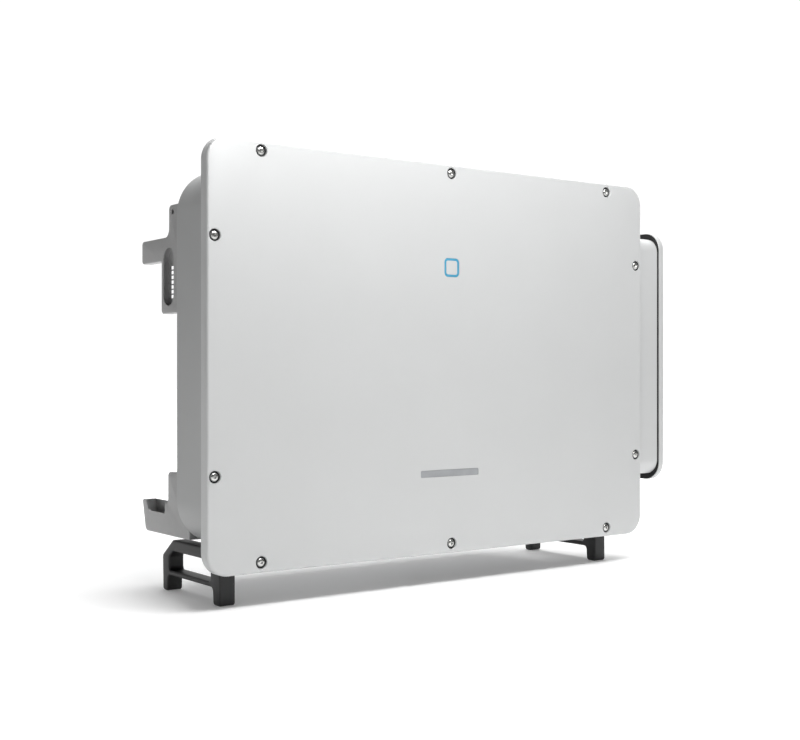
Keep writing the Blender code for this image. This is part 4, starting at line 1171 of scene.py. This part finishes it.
def make_gland(node, name):
    """Cable gland: hexagon body, threaded spigot, ribbed dome nut and a rubber insert with a clear bore."""
    low, high = local_box(node)
    place = middle(node)
    radius, x, d = (high.x - low.x) / 2, place.x, place.y
    bore, reach = radius * 0.5, high.z - UNDER
    body = slab(name, [circle(x, d, radius, 6), circle(x, d, bore + 0.0010, 24)], UNDER - 0.0080, UNDER,
                FLOOR,
                "black_nylon", 0.0006, 2)
    thread = [(bore, 0.0), (bore, reach), (radius * 0.72, reach)]
    for k in range(int(reach / 0.0015)):
        top = reach - 0.0015 * k
        thread += [(radius * 0.74, top - 0.0004), (radius * 0.69, top - 0.0011)]
    spigot = turned("spigot", thread + [(radius * 0.72, 0.0), (bore, 0.0)], (x, d, UNDER), (0, 0, 1),
                    "black_nylon", 28)
    nut = turned("dome_nut", [(bore, -0.0082), (radius * 0.90, -0.0082), (radius * 0.91, -0.0092),
                              (radius * 0.90, -0.0190), (radius * 0.84, -0.0222), (radius * 0.66, -0.0256),
                              (bore + 0.0016, -0.0259), (bore + 0.0016, -0.0240), (bore, -0.0240),
                              (bore, -0.0082)], (x, d, UNDER), (0, 0, 1), "black_nylon", 40)
    ribs = [block("rib", (-0.0006, radius * 0.86, UNDER - 0.0188), (0.0006, radius * 0.94, UNDER - 0.0098))
            for _ in range(12)]
    for k, rib in enumerate(ribs):
        rib.data.transform(Matrix.Translation(CENTRE + Vector((x, d,
                                                               0))) @ Matrix.Rotation(math.radians(30 * k),
                                                                                      4, 'Z')
                           @ Matrix.Translation(-CENTRE))
        rib.data.materials.append(MATERIALS["black_nylon"])
    insert = turned("insert", [(bore, -0.0245), (bore + 0.0016, -0.0245), (bore + 0.0014, -0.0258),
                               (bore, -0.0256), (bore, -0.0245)], (x, d, UNDER), (0, 0, 1), "foam_seal", 28)
    join(body, [spigot, nut, insert] + ribs)
    settle(body, CABINET, "black_plastic", node)


def make_glands():
    """The communication gland and the three power glands."""
    make_gland("communication_gland", "small_cable_gland")
    for i in (1, 2, 3):
        make_gland(f"power_gland_{i}", f"power_cable_gland_{i}")


def make_vent():
    """Screw-in breathing plug: a slotted cap over a membrane."""
    place = middle("pressure_vent")
    x, d = place.x, place.y
    plug = turned("breathing_plug",
                  [(0, 0.0099), (0.0058, 0.0099), (0.0060, 0.0095), (0.0060, 0), (0.0128, 0),
                                     (0.0130, -0.0003), (0.0130, -0.0058), (0.0122, -0.0072),
                                     (0.0100, -0.0088),
                                     (0, -0.0090)], (x, d, UNDER), (0, 0, 1), "black_nylon", 40)
    slits = []
    for k in range(6):
        slit = block("slit", (0.0104, -0.0022, UNDER - 0.0052), (0.0140, 0.0022, UNDER - 0.0020))
        slit.data.transform(Matrix.Translation(CENTRE + Vector((x, d,
                                                                0))) @ Matrix.Rotation(math.radians(60 * k),
                                                                                       4, 'Z')
                            @ Matrix.Translation(-CENTRE))
        slits.append(slit)
    apply_cuts(plug, slits)
    settle(plug, CABINET, "black_plastic", "pressure_vent")


def make_earth_terminals():
    """Welded stud with a serrated washer and a hexagon nut on the cabinet's rear wall."""
    for side_name in ("left", "right"):
        node = f"earth_terminal_{side_name}"
        place, low = middle(node), local_box(node)[0]
        x, z, wall = place.x, place.z, low.y
        washer = turned(f"earth_stud_{side_name}",
                        [(0.0034, 0), (0.0084, 0), (0.0086, 0.0004), (0.0084, 0.0016),
                                                   (0.0034, 0.0018), (0.0034, 0)], (x, wall, z), (0, 1, 0),
                        "stainless_steel", 36)
        nut = slab("nut", [circle(x, z, 0.0066, 6), circle(x, z, 0.0031, 24)], wall + 0.0019, wall + 0.0075,
                   FRONT,
                   "tinned_brass", 0.0004, 2)
        turns = [(0, 0)]
        for k in range(13):
            turns += [(0.0032, 0.0006 + 0.0014 * k), (0.0029, 0.0013 + 0.0014 * k)]
        stud = turned("stud", turns + [(0.0026, 0.0196), (0, 0.0199)], (x, wall, z), (0, 1, 0),
                      "tinned_brass", 24)
        join(washer, [nut, stud])
        settle(washer, CABINET, "brass_terminal", node)


# ---- electronics inside -----------------------------------------------------------------------------
TERMINALS, TERMINAL_PITCH = 4, 0.046


def make_terminal_block():
    """Moulded barrier block: four open pockets, each with a copper bar, a washer and a bolt."""
    low, high = local_box("ac_terminal_block")
    body = block("barrier_block", low, high, "grey_nylon", 0.0012)
    pockets, bars, bolts = [], [], []
    floor = low.x + 0.0115
    d = (low.y + high.y) / 2
    for k in range(TERMINALS):
        z = low.z + 0.029 + TERMINAL_PITCH * k
        pockets.append(slab("pocket",
                            [round_rect((low.y + 0.006, z - 0.019), (high.y - 0.006, z + 0.019), 0.003, 4)],
                            floor, high.x + 0.01, SIDE))
        bars.append(slab("bar", [round_rect((low.y + 0.012, z - 0.0125), (high.y - 0.012, z + 0.0125),
                                            0.002, 4)],
                         floor, floor + 0.0050, SIDE, "bare_copper", 0.0005, 2))
        bolts.append((floor + 0.0050, d, z))
    apply_cuts(body, pockets)
    washer = turned("bolt", [(0, 0), (0.0105, 0), (0.0105, 0.0018), (0.0060, 0.0020), (0.0060, 0.0200),
                             (0.0050, 0.0210), (0, 0.0210)], (0, 0, 0), (1, 0, 0), sides=28)
    nut = slab("nut", [circle(0, 0, 0.0095, 6), circle(0, 0, 0.0055, 24)], 0.0020, 0.0100, SIDE, None,
               0.0006, 2)
    join(body, bars + [repeat_at("terminal_bolts", join(washer, [nut]), bolts, "stainless_steel")])
    settle(body, CABINET, "grey_plastic", "ac_terminal_block")


def make_capacitors():
    """Seven aluminium cans with crimped rims and vent crosses on a moulded carrier."""
    low, high = local_box("capacitor_bank")
    carrier_front = high.y - 0.0077
    carrier = block("capacitor_carrier", (low.x, carrier_front, low.z), high, "grey_nylon", 0.0008)
    can = turned("can_shape", [(0, 0.0001), (0.0194, 0.0001), (0.0194, 0.0470), (0.0186, 0.0485),
                               (0.0194, 0.0500),
                               (0.0194, 0.0570), (0.0182, 0.0579), (0.0172, 0.0572), (0, 0.0572)],
                 (0, 0, 0), (0, -1, 0), sides=36)
    places = [(-0.280 + 0.050 * k, carrier_front, (low.z + high.z) / 2) for k in range(7)]
    join(carrier, [repeat_at("capacitor_cans", can, places, "extruded_aluminium")])
    settle(carrier, CABINET, "grey_plastic", "capacitor_bank")


def make_electronics():
    """The boards and blocks inside the cabinet."""
    make_terminal_block()
    make_capacitors()
    dress("control_board", "solder_mask")
    dress("power_board", "solder_mask")
    dress("inductor_box", "blasted_casting")
    dress("surge_protector_block", "grey_nylon")
    for i in (1, 2, 3):
        dress(f"dc_switch_body_{i}", "grey_nylon")




# ---- stage ------------------------------------------------------------------------------------
CAMERA_X, CAMERA_D, CAMERA_Z = -1.4714, -1.8452, -0.0315
CAMERA_TURN = math.radians(36.193)
FOCAL_PX, PICTURE_W, SENSOR = 1251.2, 800.0, 36.0
HORIZON_SHIFT = 0.0064
VIEW = Vector((math.sin(CAMERA_TURN), math.cos(CAMERA_TURN), 0.0))
FLOOR_SIZE = 30.0
# The world's strength against the cosine between a direction and the view.
WORLD_COSINE, WORLD_STRENGTH = (0.20, 0.90), (0.08, 1.06)
# Each softbox: name, place, aim, width and height in metres, and power in watts.
SOFTBOXES = (
    ("key_softbox", (-0.12, -1.05, 1.62), (0.0, 0, 0.74), 1.4, 0.5, 33),
    ("top_softbox", (1.2, 0.8, 4.0), (0.2, 0.2, 0), 3.6, 3.6, 150),
    ("front_floor_softbox", (-0.7, -2.6, 3.0), (-0.7, -2.1, 0), 2.4, 1.4, 4),
)


def make_floor():
    """Plain pale floor."""
    shape = bmesh.new()
    bmesh.ops.create_grid(shape, x_segments=2, y_segments=2, size=FLOOR_SIZE)
    floor = new_object("studio_floor", finish_mesh(shape, "studio_floor"), "studio_floor")


def make_light(name, place, aim, width, height, power, shade="#FFFFFF"):
    """One rectangular softbox."""
    data = bpy.data.lights.new(name, 'AREA')
    data.shape = 'RECTANGLE'
    data.size, data.size_y = width, height
    data.energy = power
    data.color = linear(shade)
    lamp = bpy.data.objects.new(name, data)
    lamp.location = place
    lamp.rotation_euler = (Vector(aim) - Vector(place)).to_track_quat('-Z', 'Y').to_euler()
    bpy.context.scene.collection.objects.link(lamp)


def make_world():
    """White towards the back, dimmer towards the front and the left, so the sides shade off."""
    world = bpy.data.worlds.new("studio")
    world.use_nodes = True
    tree = world.node_tree
    place = add(tree, "ShaderNodeTexCoord").outputs["Generated"]
    ahead = add(tree, "ShaderNodeVectorMath", {0: place, 1: VIEW}, operation='DOT_PRODUCT')
    level = add(tree, "ShaderNodeMapRange", {"Value": ahead.outputs["Value"], "From Min": WORLD_COSINE[0],
                                            "From Max": WORLD_COSINE[1], "To Min": WORLD_STRENGTH[0],
                                            "To Max": WORLD_STRENGTH[1]})
    tree.links.new(level.outputs["Result"], tree.nodes["Background"].inputs["Strength"])
    tree.nodes["Background"].inputs["Color"].default_value = (1.0, 1.0, 1.0, 1.0)
    bpy.context.scene.world = world


def make_lights():
    """The softboxes and the world."""
    for softbox in SOFTBOXES:
        make_light(*softbox)
    make_world()


def make_camera():
    """The camera."""
    data = bpy.data.cameras.new("camera")
    data.sensor_width = SENSOR
    data.lens = FOCAL_PX / PICTURE_W * SENSOR
    data.shift_y = HORIZON_SHIFT
    camera = bpy.data.objects.new("camera", data)
    camera.location = CENTRE + Vector((CAMERA_X, CAMERA_D, CAMERA_Z))
    camera.rotation_euler = (math.radians(90), 0, -CAMERA_TURN)
    bpy.context.scene.collection.objects.link(camera)
    bpy.context.scene.camera = camera


def make_stage():
    """Floor, lights, camera and plain colour display."""
    make_floor()
    make_lights()
    make_camera()
    bpy.context.scene.view_settings.view_transform = 'Standard'


# ---- add-on -----------------------------------------------------------------------------------
class InverterStep:
    """Shared base of the operators below."""
    bl_options = {'REGISTER', 'UNDO'}


class INVERTER_OT_materials(InverterStep, bpy.types.Operator):
    """Makes every finish"""
    bl_idname = "inverter.materials"
    bl_label = "Materials"

    def execute(self, context):
        make_materials()
        return {'FINISHED'}


class INVERTER_OT_cover(InverterStep, bpy.types.Operator):
    """Makes the front cover panel and its blank name plate"""
    bl_idname = "inverter.cover"
    bl_label = "Front cover"

    def execute(self, context):
        make_cover_panel()
        return {'FINISHED'}


class INVERTER_OT_cover_screws(InverterStep, bpy.types.Operator):
    """Makes the ten cover screws and their dark sealing washers, which also paint the shadow gap round each
    head
    """
    bl_idname = "inverter.cover_screws"
    bl_label = "Cover screws"

    def execute(self, context):
        make_cover_screws()
        return {'FINISHED'}


class INVERTER_OT_status_light(InverterStep, bpy.types.Operator):
    """Makes the lit ring and the window inside it"""
    bl_idname = "inverter.status_light"
    bl_label = "Status light"

    def execute(self, context):
        make_status_light()
        return {'FINISHED'}


class INVERTER_OT_cabinet(InverterStep, bpy.types.Operator):
    """Makes the cabinet shell behind the cover"""
    bl_idname = "inverter.cabinet"
    bl_label = "Cabinet"

    def execute(self, context):
        make_cabinet_shell()
        return {'FINISHED'}


class INVERTER_OT_ears(InverterStep, bpy.types.Operator):
    """Makes the four cast mounting ears"""
    bl_idname = "inverter.ears"
    bl_label = "Mounting ears"

    def execute(self, context):
        for side_name, side in EAR_SIDES:
            make_upper_ear(side_name, side)
            make_lower_ear(side_name, side)
        return {'FINISHED'}


class INVERTER_OT_feet(InverterStep, bpy.types.Operator):
    """Makes the two moulded handle feet"""
    bl_idname = "inverter.feet"
    bl_label = "Feet"

    def execute(self, context):
        for side_name in ("left", "right"):
            make_foot(side_name)
        return {'FINISHED'}


class INVERTER_OT_wiring_box(InverterStep, bpy.types.Operator):
    """Makes the side wiring box, its seal and its door"""
    bl_idname = "inverter.wiring_box"
    bl_label = "Wiring box"

    def execute(self, context):
        make_wiring_box()
        make_wiring_door()
        return {'FINISHED'}


class INVERTER_OT_cooling(InverterStep, bpy.types.Operator):
    """Makes the heat sink, air duct, grille, guards and fans"""
    bl_idname = "inverter.cooling"
    bl_label = "Cooling"

    def execute(self, context):
        make_heat_sink()
        make_duct()
        make_outlet_grille()
        make_fan_guards()
        make_fan_tray()
        make_rotors()
        return {'FINISHED'}


class INVERTER_OT_bottom(InverterStep, bpy.types.Operator):
    """Makes the switches, connectors, glands, vent and earth terminals"""
    bl_idname = "inverter.bottom"
    bl_label = "Bottom fittings"

    def execute(self, context):
        make_knobs()
        make_connectors()
        make_glands()
        make_vent()
        make_earth_terminals()
        return {'FINISHED'}


class INVERTER_OT_electronics(InverterStep, bpy.types.Operator):
    """Finishes the boards, capacitors, inductors and terminals inside"""
    bl_idname = "inverter.electronics"
    bl_label = "Electronics"

    def execute(self, context):
        make_electronics()
        return {'FINISHED'}


class INVERTER_OT_stage(InverterStep, bpy.types.Operator):
    """Makes the floor, the lights and the camera"""
    bl_idname = "inverter.stage"
    bl_label = "Stage"

    def execute(self, context):
        make_stage()
        return {'FINISHED'}


STEPS = (INVERTER_OT_materials, INVERTER_OT_cover, INVERTER_OT_cover_screws, INVERTER_OT_status_light,
         INVERTER_OT_cabinet, INVERTER_OT_ears, INVERTER_OT_feet, INVERTER_OT_wiring_box,
         INVERTER_OT_cooling, INVERTER_OT_bottom, INVERTER_OT_electronics, INVERTER_OT_stage)


class INVERTER_PT_panel(bpy.types.Panel):
    """Lists the sizes, the colours and one button for each step"""
    bl_idname = "INVERTER_PT_panel"
    bl_label = "String Inverter"
    bl_space_type = 'VIEW_3D'
    bl_region_type = 'UI'
    bl_category = "Inverter"

    def draw(self, context):
        for group in (context.scene.inverter_sizes, context.scene.inverter_colours):
            box = self.layout.box()
            for name in group.bl_rna.properties.keys():
                if name not in ("rna_type", "name"):
                    box.prop(group, name)
        for step in STEPS:
            self.layout.operator(step.bl_idname)


CLASSES = (InverterSizes, InverterColours, *STEPS, INVERTER_PT_panel)


def register():
    for item in CLASSES:
        bpy.utils.register_class(item)
    bpy.types.Scene.inverter_sizes = bpy.props.PointerProperty(type=InverterSizes)
    bpy.types.Scene.inverter_colours = bpy.props.PointerProperty(type=InverterColours)


def unregister():
    del bpy.types.Scene.inverter_colours
    del bpy.types.Scene.inverter_sizes
    for item in reversed(CLASSES):
        bpy.utils.unregister_class(item)


def main():
    register()
    for step in STEPS:
        group, name = step.bl_idname.split(".")
        getattr(getattr(bpy.ops, group), name)()


if __name__ == "__main__":
    main()
